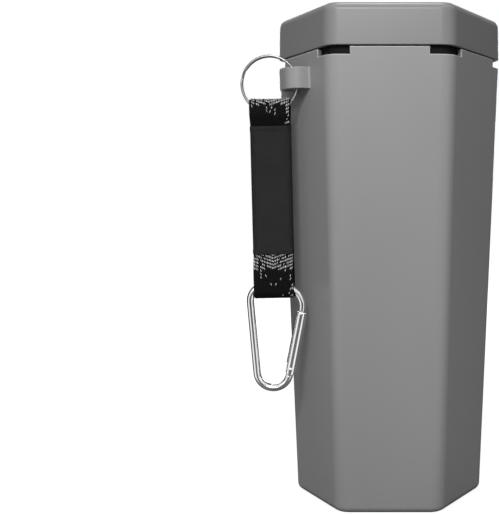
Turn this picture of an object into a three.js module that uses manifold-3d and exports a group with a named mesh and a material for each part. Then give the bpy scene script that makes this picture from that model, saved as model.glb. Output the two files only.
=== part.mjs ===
// Golf ball washer: a tapered hexagonal cup with a push-on lid and a lift-out set of brushes inside.
// A split ring through a moulded lug carries a webbing strap, and the strap carries a carabiner.
// Millimetres, +Z up, origin at the middle of the base, front facet towards -Y.

import * as THREE from 'three';
import { mergeVertices } from 'three/addons/utils/BufferGeometryUtils.js';
import Module from 'manifold-3d';

const wasm = await Module();
wasm.setup();

// Shared clearances
const GAP = 0.3;
const OVERRUN = 3;

// Hexagon
const SIDES = 6;
const HEX_FLAT_SHARE = Math.sqrt(3) / 2;
const CORNER_STEPS = 4;
const FILLET_STEPS = 4;

// Cup
const CUP_HEIGHT = 197.2;
const CUP_RIM_SIDE = 51.1;
const CUP_BASE_SIDE = 43.4;
const CUP_CORNER_RADIUS = 8;
const CUP_BASE_FILLET = 3;
const CUP_WALL = 2.6;
const CUP_FLOOR = 3.2;
const NECK_HEIGHT = 8;
const NECK_INSET = 2.6;
const NECK_WALL = 2;

// Finger notches under the lid, one at each corner
const NOTCH_HEIGHT = 4;
const NOTCH_WIDTH = 15.6;

// Lid
const LID_HEIGHT = 18;
const LID_TOP_SIDE = 50.8;
const LID_WALL = 2.2;
const LID_ROOF = 2.6;
const LID_TOP_FILLET = 3.5;
const LID_TOP_Z = CUP_HEIGHT + LID_HEIGHT;

// Plug inside the lid, and its seal
const PLUG_SIDE_CLEARANCE = 1;
const PLUG_WALL = 2.4;
const PLUG_ROOF = 2;
const PLUG_DEPTH = 5;
const SEAL_GROOVE_DEPTH = 1.2;
const SEAL_GROOVE_HEIGHT = 2.6;
const SEAL_GROOVE_RISE = 1.4;

// Brush set inside the cup
const INSERT_CLEARANCE = 0.5;
const INSERT_BASE_THICKNESS = 3;
const INSERT_TOP_DROP = 8;
const INSERT_TOP_Z = CUP_HEIGHT - INSERT_TOP_DROP;
const INSERT_RING_HEIGHT = 6;
const INSERT_RING_WIDTH = 7;
const DRAIN_HOLE_RADIUS = 2.5;
const DRAIN_CIRCLE_RADIUS = 24;
const DRAIN_HOLES = 6;
const PANEL_THICKNESS = 2;
const PANEL_EDGE_CLEARANCE = 1.4;
const BRISTLE_LENGTH = 12.5;
const BRISTLE_EDGE_INSET = 2.5;
const BRISTLE_END_INSET = 3;
const BRISTLE_TIP_DRAW = 2.4;
const FLOOR_BRUSH_RADIUS = 17;
const FLOOR_PLATE_THICKNESS = 2;
const FLOOR_BRISTLE_LENGTH = 11;
const FLOOR_BRISTLE_RADIUS = 15;
const FLOOR_BRISTLE_CROWN = 2.5;
const ROUND_SEGMENTS = 24;

// Lug on the front left facet
const LUG_HALF_WIDTH = 8.4;
const LUG_REACH = 9;
const LUG_CORNER = 4;
const LUG_WALL = 1.5;
const LUG_HEIGHT = 9;
const LUG_BOTTOM_DROP = 15.6;
const LUG_BOTTOM_Z = CUP_HEIGHT - LUG_BOTTOM_DROP;
const LUG_ALONG_FACET = 25.5;

// Split ring
const RING_REACH = 3.9;
const RING_FROM_LUG_MIDDLE = 3.9;
const RING_MEAN_RADIUS = 11.8;
const RING_WIRE = 1.3;
const RING_COILS = 2;
const RING_COIL_PITCH = 1.2;
const RING_CENTRE_RISE = 1.9;
const RING_CENTRE_Z = LUG_BOTTOM_Z + RING_CENTRE_RISE;
const RING_SEGMENTS = 40;

// Webbing strap
const STRAP_WIDTH = 17.2;
const STRAP_THICKNESS = 1.2;
const STRAP_LEAN_DEG = 1.05;
const LOOP_HALF_GAP = 2.7;
const LOOP_CLEARANCE = 0.7;
const TOP_LOOP_NECK = 4.5;
const LOW_LOOP_NECK = 10.5;
const LOW_LOOP_SHOULDER = 2.9;
const SLEEVE_FROM_TOP_NECK = 0.15;
const SLEEVE_FROM_LOW_NECK = 0.5;
const SLEEVE_WALL = 0.8;
const SLEEVE_SIDE = 0.4;

// Carabiner, its four corners given as x and z from the gate's hinge
const WIRE_RADIUS = 1.6;
const WIRE_SIDES = 12;
const WIRE_STEPS = 60;
const HINGE_DROP = 122.9;
const HINGE_RIGHT = 8.324;
const GATE_LENGTH = 24.7;
const GATE_LEAN_DEG = 11.4;
const BOTTOM_RIGHT = [-1.8, -8.1];
const BOTTOM_LEFT = [-14.1, -8.1];
const TOP_LEFT = [-18.1, 38.4];
const TOP_RIGHT = [6, 34.4];
const BOTTOM_BEND = 6.6;
const TOP_LEFT_BEND = 7.2;
const TOP_RIGHT_BEND = 8;
const BEND_STEPS = 8;
const GATE_RADIUS = 2.4;
const TANG_HALF_THICKNESS = 1;
const TANG_ROOT = 2.9;
const GATE_SLOT_DEPTH = 2.7;
const GATE_END_REACH = 0.5;
const NOSE_TANG_LENGTH = 4.2;
const NOSE_TANG_ROOT = 1.2;
const NOSE_SLOT_DEPTH = 4.9;
const PIN_RADIUS = 0.75;
const PIN_CLEARANCE = 0.3;
const LATCH_PIN_DROP = 1.9;
const LATCH_PIN_RADIUS = 0.55;
const GATE_BORE_RADIUS = 1.45;
const GATE_BORE_LENGTH = 11;
const SPRING_WIRE = 0.4;
const SPRING_TURNS = 7;
const SPRING_STEPS = 10;
const PLUNGER_LENGTH = 2.4;

// Finishes
const GREY_PLASTIC = new THREE.MeshStandardMaterial({ color: 0x8e8e8e, roughness: 0.5, metalness: 0 });
const INNER_PLASTIC = new THREE.MeshStandardMaterial({ color: 0x6f7173, roughness: 0.55, metalness: 0 });
const BRISTLE_NYLON = new THREE.MeshStandardMaterial({ color: 0xe6e6e2, roughness: 0.7, metalness: 0 });
const BLACK_RUBBER = new THREE.MeshStandardMaterial({ color: 0x26272a, roughness: 0.85, metalness: 0 });
const BLACK_WEBBING = new THREE.MeshStandardMaterial({ color: 0x17181a, roughness: 0.9, metalness: 0 });
const SLEEVE_FABRIC = new THREE.MeshStandardMaterial({ color: 0x262729, roughness: 0.75, metalness: 0 });
const BRIGHT_STEEL = new THREE.MeshStandardMaterial({ color: 0xc9cbcd, roughness: 0.2, metalness: 1 });

const part = new THREE.Group();

function toSolid(geometry) {
  const bare = geometry.clone();
  bare.deleteAttribute('normal');
  bare.deleteAttribute('uv');
  const merged = mergeVertices(bare);
  return new wasm.Manifold(new wasm.Mesh({
    numProp: 3,
    vertProperties: new Float32Array(merged.attributes.position.array),
    triVerts: new Uint32Array(merged.index.array),
  }));
}

function toGeometry(solid) {
  const mesh = solid.getMesh();
  const geometry = new THREE.BufferGeometry();
  geometry.setAttribute('position', new THREE.BufferAttribute(mesh.vertProperties, 3));
  geometry.setIndex(new THREE.BufferAttribute(mesh.triVerts, 1));
  return geometry;
}

function addPiece(name, shape, material, parent = part) {
  const geometry = shape.isBufferGeometry ? shape : toGeometry(shape);
  const mesh = new THREE.Mesh(geometry, material);
  mesh.name = name;
  parent.add(mesh);
  return mesh;
}

// A hexagon with rounded corners, its flats facing front and back, as a list of [x, y] points.
function roundedHexagon(side, radius) {
  const cornerSetback = radius / HEX_FLAT_SHARE;
  const points = [];
  for (let corner = 0; corner < SIDES; corner += 1) {
    const angle = (corner * 2 * Math.PI) / SIDES;
    const centre = side - cornerSetback;
    for (let step = 0; step <= CORNER_STEPS; step += 1) {
      const turn = angle + ((step / CORNER_STEPS - 1 / 2) * 2 * Math.PI) / SIDES;
      points.push([
        centre * Math.cos(angle) + radius * Math.cos(turn),
        centre * Math.sin(angle) + radius * Math.sin(turn),
      ]);
    }
  }
  return points;
}

// A closed body through rings of equal point counts, from the lowest ring to the highest.
function loft(rings) {
  const count = rings[0].points.length;
  const positions = [];
  const indices = [];
  rings.forEach(({ z, points }) => points.forEach(([x, y]) => positions.push(x, y, z)));
  for (let ring = 0; ring + 1 < rings.length; ring += 1) {
    for (let i = 0; i < count; i += 1) {
      const here = ring * count + i;
      const next = ring * count + ((i + 1) % count);
      indices.push(here, next, next + count, here, next + count, here + count);
    }
  }
  const top = (rings.length - 1) * count;
  for (let i = 1; i + 1 < count; i += 1) {
    indices.push(0, i + 1, i);
    indices.push(top, top + i, top + i + 1);
  }
  const geometry = new THREE.BufferGeometry();
  geometry.setAttribute('position', new THREE.Float32BufferAttribute(positions, 3));
  geometry.setIndex(indices);
  return geometry;
}

function hexRing(z, side, radius) {
  return { z, points: roundedHexagon(side, radius) };
}

function hexPrism(lowZ, lowSide, highZ, highSide, radius) {
  return toSolid(loft([hexRing(lowZ, lowSide, radius), hexRing(highZ, highSide, radius)]));
}

// The side of a hexagon drawn in by a distance measured square to its flats.
function inset(side, distance) {
  return side - distance / HEX_FLAT_SHARE;
}

function cupSideAt(z) {
  return CUP_BASE_SIDE + ((CUP_RIM_SIDE - CUP_BASE_SIDE) * z) / CUP_HEIGHT;
}

const NECK_TOP_Z = CUP_HEIGHT + NECK_HEIGHT;
const NECK_SIDE = inset(CUP_RIM_SIDE, NECK_INSET);
const NECK_RADIUS = CUP_CORNER_RADIUS - NECK_INSET;
const CAVITY_TOP_SIDE = inset(NECK_SIDE, NECK_WALL);
const CAVITY_BASE_SIDE = inset(CUP_BASE_SIDE, CUP_WALL);
const CAVITY_RADIUS = CUP_CORNER_RADIUS - CUP_WALL;

function cavitySideAt(z) {
  return CAVITY_BASE_SIDE + ((CAVITY_TOP_SIDE - CAVITY_BASE_SIDE) * (z - CUP_FLOOR)) / (NECK_TOP_Z - CUP_FLOOR);
}

function boxSolid(width, depth, height) {
  return new THREE.BoxGeometry(width, depth, height);
}

// The frame of the front left facet: its outward normal, and the way along it from front to left.
const FACET_ANGLE = (7 * Math.PI) / SIDES;
const FACET_NORMAL = new THREE.Vector3(Math.cos(FACET_ANGLE), Math.sin(FACET_ANGLE), 0);
const FACET_ALONG = new THREE.Vector3(Math.sin(FACET_ANGLE), -Math.cos(FACET_ANGLE), 0);
const LUG_SIDE = cupSideAt(LUG_BOTTOM_Z);
const LUG_ROOT = new THREE.Vector3(-LUG_SIDE / 2, -LUG_SIDE * HEX_FLAT_SHARE, 0)
  .addScaledVector(FACET_ALONG, LUG_ALONG_FACET);
const RING_AXIS = LUG_ROOT.clone().addScaledVector(FACET_NORMAL, RING_REACH)
  .addScaledVector(FACET_ALONG, -RING_FROM_LUG_MIDDLE);
const RING_CENTRE_X = RING_AXIS.x - RING_MEAN_RADIUS;
const HINGE_X = RING_CENTRE_X + HINGE_RIGHT;
const HINGE_Z = RING_CENTRE_Z - HINGE_DROP;

// The lug seen from above, with its two outer corners rounded. All of it is drawn in by a margin.
function lugOutline(margin) {
  const half = LUG_HALF_WIDTH - margin;
  const reach = LUG_REACH - margin;
  const corner = LUG_CORNER - margin;
  const shape = new THREE.Shape();
  shape.moveTo(-CUP_WALL, -half);
  shape.lineTo(reach - corner, -half);
  shape.absarc(reach - corner, corner - half, corner, -Math.PI / 2, 0, false);
  shape.absarc(reach - corner, half - corner, corner, 0, Math.PI / 2, false);
  shape.lineTo(-CUP_WALL, half);
  shape.closePath();
  return shape;
}

function lugBody(margin, lowZ, highZ) {
  const geometry = new THREE.ExtrudeGeometry(lugOutline(margin), {
    depth: highZ - lowZ, bevelEnabled: false, curveSegments: CORNER_STEPS * 2,
  });
  geometry.rotateZ(FACET_ANGLE);
  geometry.translate(LUG_ROOT.x, LUG_ROOT.y, lowZ);
  return toSolid(geometry);
}

function buildCup() {
  const rings = [];
  for (let step = 0; step <= FILLET_STEPS; step += 1) {
    const turn = ((step / FILLET_STEPS) * Math.PI) / 2;
    const z = CUP_BASE_FILLET * (1 - Math.cos(turn));
    const drawn = CUP_BASE_FILLET * (1 - Math.sin(turn));
    rings.push(hexRing(z, inset(cupSideAt(z), drawn), CUP_CORNER_RADIUS - drawn / 2));
  }
  rings.push(hexRing(CUP_HEIGHT, CUP_RIM_SIDE, CUP_CORNER_RADIUS));
  let cup = toSolid(loft(rings));

  const neckCore = hexPrism(CUP_HEIGHT - NOTCH_HEIGHT - OVERRUN, NECK_SIDE, NECK_TOP_Z, NECK_SIDE, NECK_RADIUS);
  for (let corner = 0; corner < SIDES; corner += 1) {
    const angle = (corner * 2 * Math.PI) / SIDES;
    const reach = CUP_RIM_SIDE / 2;
    const cutter = boxSolid(reach, NOTCH_WIDTH, NOTCH_HEIGHT + OVERRUN);
    cutter.translate(CUP_RIM_SIDE, 0, CUP_HEIGHT + (OVERRUN - NOTCH_HEIGHT) / 2);
    cutter.rotateZ(angle);
    cup = cup.subtract(toSolid(cutter).subtract(neckCore));
  }
  cup = cup.add(neckCore);

  const lug = lugBody(0, LUG_BOTTOM_Z, LUG_BOTTOM_Z + LUG_HEIGHT);
  const eye = lugBody(LUG_WALL, LUG_BOTTOM_Z - OVERRUN, LUG_BOTTOM_Z + LUG_HEIGHT + OVERRUN);
  cup = cup.add(lug.subtract(eye));

  const top = NECK_TOP_Z + OVERRUN;
  return cup.subtract(hexPrism(CUP_FLOOR, cavitySideAt(CUP_FLOOR), top, cavitySideAt(top), CAVITY_RADIUS));
}

function buildLidShell() {
  const low = CUP_HEIGHT + GAP;
  const rings = [hexRing(low, CUP_RIM_SIDE, CUP_CORNER_RADIUS)];
  for (let step = 0; step <= FILLET_STEPS; step += 1) {
    const turn = ((step / FILLET_STEPS) * Math.PI) / 2;
    const z = LID_TOP_Z - LID_TOP_FILLET * (1 - Math.sin(turn));
    const drawn = LID_TOP_FILLET * (1 - Math.cos(turn));
    rings.push(hexRing(z, inset(LID_TOP_SIDE, drawn), CUP_CORNER_RADIUS - drawn / 2));
  }
  const side = inset(CUP_RIM_SIDE, LID_WALL);
  const hollow = hexPrism(low - OVERRUN, side, LID_TOP_Z - LID_ROOF, side, CUP_CORNER_RADIUS - LID_WALL);
  return toSolid(loft(rings)).subtract(hollow);
}

const PLUG_TOP_Z = LID_TOP_Z - LID_ROOF - GAP;
const PLUG_BOTTOM_Z = NECK_TOP_Z - PLUG_DEPTH;
const PLUG_SIDE = inset(cavitySideAt(PLUG_BOTTOM_Z), PLUG_SIDE_CLEARANCE);
const PLUG_RADIUS = CAVITY_RADIUS - PLUG_SIDE_CLEARANCE / 2;
const SEAL_LOW_Z = PLUG_BOTTOM_Z + SEAL_GROOVE_RISE;

function buildLidPlug() {
  const outer = hexPrism(PLUG_BOTTOM_Z, PLUG_SIDE, PLUG_TOP_Z, PLUG_SIDE, PLUG_RADIUS);
  const dishSide = inset(PLUG_SIDE, PLUG_WALL);
  const dishRadius = PLUG_RADIUS - PLUG_WALL / 2;
  const dish = hexPrism(PLUG_BOTTOM_Z - OVERRUN, dishSide, PLUG_TOP_Z - PLUG_ROOF, dishSide, dishRadius);
  const grooveSide = inset(PLUG_SIDE, SEAL_GROOVE_DEPTH);
  const grooveTop = SEAL_LOW_Z + SEAL_GROOVE_HEIGHT;
  const wide = PLUG_SIDE + OVERRUN;
  const groove = hexPrism(SEAL_LOW_Z, wide, grooveTop, wide, PLUG_RADIUS)
    .subtract(hexPrism(SEAL_LOW_Z - OVERRUN, grooveSide, grooveTop + OVERRUN, grooveSide, PLUG_RADIUS));
  return outer.subtract(dish).subtract(groove);
}

function buildLidSeal() {
  const low = SEAL_LOW_Z + GAP;
  const high = SEAL_LOW_Z + SEAL_GROOVE_HEIGHT - GAP;
  const outer = inset(cavitySideAt(low), GAP);
  const inner = inset(PLUG_SIDE, SEAL_GROOVE_DEPTH - GAP);
  return hexPrism(low, outer, high, outer, PLUG_RADIUS)
    .subtract(hexPrism(low - OVERRUN, inner, high + OVERRUN, inner, PLUG_RADIUS));
}

const INSERT_BASE_LOW_Z = CUP_FLOOR + GAP;
const INSERT_BASE_HIGH_Z = INSERT_BASE_LOW_Z + INSERT_BASE_THICKNESS;
const RING_LOW_Z = INSERT_TOP_Z - INSERT_RING_HEIGHT;
const PANEL_LOW_Z = INSERT_BASE_HIGH_Z + GAP;
const PANEL_HIGH_Z = RING_LOW_Z - GAP;

function buildInsertBase() {
  const side = inset(cavitySideAt(INSERT_BASE_LOW_Z), INSERT_CLEARANCE);
  let plate = hexPrism(INSERT_BASE_LOW_Z, side, INSERT_BASE_HIGH_Z, side, CAVITY_RADIUS);
  for (let hole = 0; hole < DRAIN_HOLES; hole += 1) {
    const angle = (hole * 2 * Math.PI) / DRAIN_HOLES;
    const drill = uprightCylinder(DRAIN_HOLE_RADIUS, INSERT_BASE_LOW_Z - OVERRUN, INSERT_BASE_HIGH_Z + OVERRUN);
    drill.translate(DRAIN_CIRCLE_RADIUS * Math.cos(angle), DRAIN_CIRCLE_RADIUS * Math.sin(angle), 0);
    plate = plate.subtract(toSolid(drill));
  }
  return plate;
}

function uprightCylinder(radius, lowZ, highZ, segments = ROUND_SEGMENTS / 2) {
  const geometry = new THREE.CylinderGeometry(radius, radius, highZ - lowZ, segments);
  geometry.rotateX(Math.PI / 2);
  geometry.translate(0, 0, (lowZ + highZ) / 2);
  return geometry;
}

function buildInsertRing() {
  const outer = inset(cavitySideAt(RING_LOW_Z), INSERT_CLEARANCE);
  const inner = inset(outer, INSERT_RING_WIDTH);
  return hexPrism(RING_LOW_Z, outer, INSERT_TOP_Z, outer, CAVITY_RADIUS)
    .subtract(hexPrism(RING_LOW_Z - OVERRUN, inner, INSERT_TOP_Z + OVERRUN, inner, CAVITY_RADIUS));
}

// A slab that stands against the front wall of the cup and leans with it. Depths run inwards from
// the cup's wall, and draw narrows and shortens the inner face.
function wallSlab(lowZ, highZ, outerDepth, innerDepth, edgeClearance, draw) {
  const corners = (z, towardsMiddle) => {
    const wall = cavitySideAt(z) * HEX_FLAT_SHARE;
    const outerHalf = (wall - innerDepth) / HEX_FLAT_SHARE / 2 - edgeClearance + draw;
    const half = outerHalf - draw;
    return towardsMiddle
      ? [half, -(wall - innerDepth)]
      : [Math.min(outerHalf, (wall - outerDepth) / HEX_FLAT_SHARE / 2 - edgeClearance), -(wall - outerDepth)];
  };
  const ring = (z) => {
    const [innerHalf, innerY] = corners(z, true);
    const [outerHalf, outerY] = corners(z, false);
    return { z, points: [[-outerHalf, outerY], [outerHalf, outerY], [innerHalf, innerY], [-innerHalf, innerY]] };
  };
  return loft([ring(lowZ), ring(highZ)]);
}

function buildBrushes() {
  const panelOuter = INSERT_CLEARANCE;
  const panelInner = panelOuter + PANEL_THICKNESS;
  const bristleOuter = panelInner + GAP;
  const bristleInner = bristleOuter + BRISTLE_LENGTH;
  for (let facet = 0; facet < SIDES; facet += 1) {
    const turned = new THREE.Group();
    turned.rotation.z = (facet * 2 * Math.PI) / SIDES;
    part.add(turned);
    const panel = wallSlab(PANEL_LOW_Z, PANEL_HIGH_Z, panelOuter, panelInner, PANEL_EDGE_CLEARANCE, 0);
    addPiece(`brush_panel_${facet + 1}`, panel, INNER_PLASTIC, turned);
    const bristles = wallSlab(
      PANEL_LOW_Z + BRISTLE_END_INSET, PANEL_HIGH_Z - BRISTLE_END_INSET,
      bristleOuter, bristleInner, BRISTLE_EDGE_INSET, BRISTLE_TIP_DRAW,
    );
    addPiece(`wall_bristles_${facet + 1}`, bristles, BRISTLE_NYLON, turned);
  }
}

const FLOOR_PLATE_LOW_Z = INSERT_BASE_HIGH_Z + GAP;
const FLOOR_BRISTLE_LOW_Z = FLOOR_PLATE_LOW_Z + FLOOR_PLATE_THICKNESS + GAP;

function buildFloorPlate() {
  return uprightCylinder(FLOOR_BRUSH_RADIUS, FLOOR_PLATE_LOW_Z, FLOOR_PLATE_LOW_Z + FLOOR_PLATE_THICKNESS,
    ROUND_SEGMENTS);
}

function buildFloorBristles() {
  const top = FLOOR_BRISTLE_LOW_Z + FLOOR_BRISTLE_LENGTH;
  const profile = [
    new THREE.Vector2(0, FLOOR_BRISTLE_LOW_Z),
    new THREE.Vector2(FLOOR_BRISTLE_RADIUS, FLOOR_BRISTLE_LOW_Z),
    new THREE.Vector2(FLOOR_BRISTLE_RADIUS, top - FLOOR_BRISTLE_CROWN),
    new THREE.Vector2(FLOOR_BRISTLE_RADIUS - FLOOR_BRISTLE_CROWN, top),
    new THREE.Vector2(0, top),
  ];
  const geometry = new THREE.LatheGeometry(profile, ROUND_SEGMENTS);
  geometry.rotateX(Math.PI / 2);
  return toSolid(geometry);
}

// The split ring: its coils lie side by side and show as one band with a groove between them.
function buildSplitRing() {
  const half = ((RING_COILS - 1) * RING_COIL_PITCH + RING_WIRE) / 2;
  const chamfer = RING_WIRE / 4;
  const valley = RING_WIRE / 2 - chamfer;
  const inner = RING_MEAN_RADIUS - RING_WIRE / 2;
  const outer = RING_MEAN_RADIUS + RING_WIRE / 2;
  const outline = [
    [inner, chamfer], [inner, half - chamfer], [inner + chamfer, half], [outer - chamfer, half],
    [outer, half - chamfer], [outer, chamfer], [RING_MEAN_RADIUS + valley, 0],
    [outer, -chamfer], [outer, -half + chamfer], [outer - chamfer, -half], [inner + chamfer, -half],
    [inner, -half + chamfer], [inner, -chamfer], [RING_MEAN_RADIUS - valley, 0], [inner, chamfer],
  ].map(([r, h]) => new THREE.Vector2(r, h));
  return toSolid(new THREE.LatheGeometry(outline.reverse(), RING_SEGMENTS));
}

// The strap's side view: two layers between the loops, and a rounded loop at each end.
function strapOutline(topLoop, lowLoop) {
  const shape = new THREE.Shape();
  const loopHalf = LOOP_HALF_GAP + STRAP_THICKNESS;
  const topNeck = topLoop.low - TOP_LOOP_NECK;
  const lowNeck = lowLoop.high + LOW_LOOP_NECK;
  const lowShoulder = lowLoop.high + LOW_LOOP_SHOULDER;
  const topCentre = topLoop.high - LOOP_HALF_GAP;
  const lowCentre = lowLoop.low + LOOP_HALF_GAP;
  shape.moveTo(-STRAP_THICKNESS, lowNeck);
  shape.lineTo(-STRAP_THICKNESS, topNeck);
  shape.lineTo(-loopHalf, topLoop.low + LOOP_HALF_GAP);
  shape.absarc(0, topCentre, loopHalf, Math.PI, 0, true);
  shape.lineTo(loopHalf, topLoop.low + LOOP_HALF_GAP);
  shape.lineTo(STRAP_THICKNESS, topNeck);
  shape.lineTo(STRAP_THICKNESS, lowNeck);
  shape.lineTo(loopHalf, lowShoulder);
  shape.absarc(0, lowCentre, loopHalf, 0, -Math.PI, true);
  shape.lineTo(-loopHalf, lowShoulder);
  shape.closePath();
  return shape;
}

function slotPath(loop) {
  const path = new THREE.Path();
  path.absarc(0, loop.high - LOOP_HALF_GAP, LOOP_HALF_GAP, 0, Math.PI, false);
  path.absarc(0, loop.low + LOOP_HALF_GAP, LOOP_HALF_GAP, Math.PI, 2 * Math.PI, false);
  path.closePath();
  return path;
}

// Turns a flat outline of depth and height into a band as wide as asked, centred on x = 0.
function bandAcross(shape, width) {
  const geometry = new THREE.ExtrudeGeometry(shape, { depth: width, bevelEnabled: false, curveSegments: 8 });
  geometry.translate(0, 0, -width / 2);
  geometry.rotateX(Math.PI / 2);
  geometry.rotateZ(Math.PI / 2);
  return toSolid(geometry);
}

// The height that the ring's wire takes up across the strap, with room to spare.
function ringLoop() {
  const inner = RING_MEAN_RADIUS - RING_WIRE / 2;
  const outer = RING_MEAN_RADIUS + RING_WIRE / 2;
  return {
    low: RING_CENTRE_Z - outer - LOOP_CLEARANCE,
    high: RING_CENTRE_Z - Math.sqrt(inner ** 2 - (STRAP_WIDTH / 2) ** 2) + LOOP_CLEARANCE,
  };
}

// The same for the carabiner's top bend, read off the middle line of its wire.
function carabinerLoop() {
  const middle = strapCentreX(HINGE_Z + TOP_LEFT[1]);
  const line = carabinerLine().filter((p) => p.y > HINGE_Z + (TOP_RIGHT[1] + BOTTOM_RIGHT[1]) / 2);
  const undersides = [-1, 1].map((way) => undersideAt(line, middle + (way * STRAP_WIDTH) / 2));
  const inside = line.filter((p) => Math.abs(p.x - middle) < STRAP_WIDTH / 2).map((p) => p.y);
  return {
    low: Math.min(...undersides) - LOOP_CLEARANCE,
    high: Math.max(...inside) + WIRE_RADIUS + LOOP_CLEARANCE,
  };
}

// How low a wire reaches where its middle line crosses an upright line at x.
function undersideAt(line, x) {
  const i = line.findIndex((p, n) => n > 0 && (p.x - x) * (line[n - 1].x - x) <= 0);
  const run = line[i].clone().sub(line[i - 1]);
  const share = (x - line[i - 1].x) / run.x;
  return line[i - 1].y + share * run.y - (WIRE_RADIUS * run.length()) / Math.abs(run.x);
}

const STRAP_LEAN = THREE.MathUtils.degToRad(STRAP_LEAN_DEG);

function strapCentreX(z) {
  return RING_CENTRE_X + (ringLoop().high - z) * Math.tan(STRAP_LEAN);
}

function buildStrap() {
  const topLoop = ringLoop();
  const lowLoop = carabinerLoop();
  const shape = strapOutline(topLoop, lowLoop);
  shape.holes.push(slotPath(topLoop), slotPath(lowLoop));
  return bandAcross(shape, STRAP_WIDTH);
}

function buildSleeve() {
  const high = ringLoop().low - TOP_LOOP_NECK - SLEEVE_FROM_TOP_NECK;
  const low = carabinerLoop().high + LOW_LOOP_NECK + SLEEVE_FROM_LOW_NECK;
  const height = high - low;
  const middle = (high + low) / 2;
  const innerWidth = STRAP_WIDTH + 2 * GAP;
  const innerDepth = 2 * (STRAP_THICKNESS + GAP);
  const outer = boxSolid(innerWidth + 2 * SLEEVE_SIDE, innerDepth + 2 * SLEEVE_WALL, height);
  outer.translate(0, 0, middle);
  const inner = boxSolid(innerWidth, innerDepth, height + 2 * OVERRUN);
  inner.translate(0, 0, middle);
  return toSolid(outer).subtract(toSolid(inner));
}

// Points along a line whose corners are rounded, each corner given as [x, z, bend radius].
function bentLine(corners) {
  const points = [];
  corners.forEach(([x, z, radius], i) => {
    const here = new THREE.Vector2(x, z);
    if (!radius) {
      points.push(here);
      return;
    }
    const back = new THREE.Vector2(corners[i - 1][0], corners[i - 1][1]).sub(here).normalize();
    const on = new THREE.Vector2(corners[i + 1][0], corners[i + 1][1]).sub(here).normalize();
    const halfAngle = Math.acos(back.dot(on)) / 2;
    const bisector = back.clone().add(on).normalize();
    const centre = here.clone().addScaledVector(bisector, radius / Math.sin(halfAngle));
    const start = here.clone().addScaledVector(back, radius / Math.tan(halfAngle)).sub(centre);
    const end = here.clone().addScaledVector(on, radius / Math.tan(halfAngle)).sub(centre);
    let turn = end.angle() - start.angle();
    turn = Math.atan2(Math.sin(turn), Math.cos(turn));
    for (let step = 0; step <= BEND_STEPS; step += 1) {
      const spoke = start.clone().rotateAround(new THREE.Vector2(), (turn * step) / BEND_STEPS);
      points.push(centre.clone().add(spoke));
    }
  });
  return points;
}

const GATE_LEAN = THREE.MathUtils.degToRad(GATE_LEAN_DEG);
const GATE_MATRIX = new THREE.Matrix4()
  .makeTranslation(HINGE_X, RING_AXIS.y, HINGE_Z)
  .multiply(new THREE.Matrix4().makeRotationY(GATE_LEAN));

function inGateFrame(geometry) {
  geometry.applyMatrix4(GATE_MATRIX);
  return toSolid(geometry);
}

function crossPin(radius, halfLength, z, segments = ROUND_SEGMENTS / 2) {
  const geometry = new THREE.CylinderGeometry(radius, radius, 2 * halfLength, segments);
  geometry.translate(0, 0, z);
  return geometry;
}

// The middle line of the carabiner's wire, from the hinge tang round to the nose tang.
function carabinerLine() {
  const noseX = HINGE_X + GATE_LENGTH * Math.sin(GATE_LEAN);
  const noseZ = HINGE_Z + GATE_LENGTH * Math.cos(GATE_LEAN);
  const tipX = noseX - NOSE_TANG_LENGTH * Math.sin(GATE_LEAN);
  const tipZ = noseZ - NOSE_TANG_LENGTH * Math.cos(GATE_LEAN);
  const tangEndX = HINGE_X + WIRE_RADIUS * Math.sin(GATE_LEAN);
  const tangEndZ = HINGE_Z + WIRE_RADIUS * Math.cos(GATE_LEAN);
  const corner = ([x, z], bend) => [HINGE_X + x, HINGE_Z + z, bend];
  return bentLine([
    [tangEndX, tangEndZ, 0],
    corner(BOTTOM_RIGHT, BOTTOM_BEND), corner(BOTTOM_LEFT, BOTTOM_BEND),
    corner(TOP_LEFT, TOP_LEFT_BEND), corner(TOP_RIGHT, TOP_RIGHT_BEND),
    [noseX, noseZ, 0], [tipX, tipZ, 0],
  ]);
}

// The bent wire, with a flat tang at the hinge and another, notched for the latch pin, at the nose.
function buildCarabinerBody() {
  const curve = new THREE.CatmullRomCurve3(
    carabinerLine().map((p) => new THREE.Vector3(p.x, RING_AXIS.y, p.y)), false, 'centripetal',
  );
  const section = new THREE.Shape();
  section.absarc(0, 0, WIRE_RADIUS, 0, 2 * Math.PI, false);
  let body = toSolid(new THREE.ExtrudeGeometry(section, {
    steps: WIRE_STEPS, curveSegments: WIRE_SIDES, extrudePath: curve, bevelEnabled: false,
  }));

  const wide = 2 * WIRE_RADIUS + OVERRUN;
  const sideCut = (lowZ, highZ, way) => {
    const cutter = boxSolid(wide, OVERRUN, highZ - lowZ);
    cutter.translate(0, way * (TANG_HALF_THICKNESS + OVERRUN / 2), (lowZ + highZ) / 2);
    return inGateFrame(cutter);
  };
  for (const way of [-1, 1]) {
    body = body.subtract(sideCut(-TANG_ROOT, WIRE_RADIUS + OVERRUN, way));
    body = body.subtract(sideCut(GATE_LENGTH - NOSE_TANG_LENGTH - OVERRUN, GATE_LENGTH + NOSE_TANG_ROOT, way));
  }
  const tangEnd = boxSolid(wide, OVERRUN, WIRE_RADIUS + OVERRUN);
  tangEnd.translate(0, 0, (WIRE_RADIUS + OVERRUN) / 2);
  const tangRound = crossPin(WIRE_RADIUS, OVERRUN, 0, ROUND_SEGMENTS);
  body = body.subtract(inGateFrame(tangEnd).subtract(inGateFrame(tangRound)));
  body = body.subtract(inGateFrame(crossPin(PIN_RADIUS + PIN_CLEARANCE, OVERRUN, 0)));

  const notchReach = LATCH_PIN_RADIUS + PIN_CLEARANCE;
  const notchWidth = WIRE_RADIUS + OVERRUN;
  const notch = boxSolid(notchWidth, OVERRUN, 2 * notchReach);
  notch.translate(notchReach - notchWidth / 2, 0, GATE_LENGTH - LATCH_PIN_DROP);
  return body.subtract(inGateFrame(notch));
}

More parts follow.
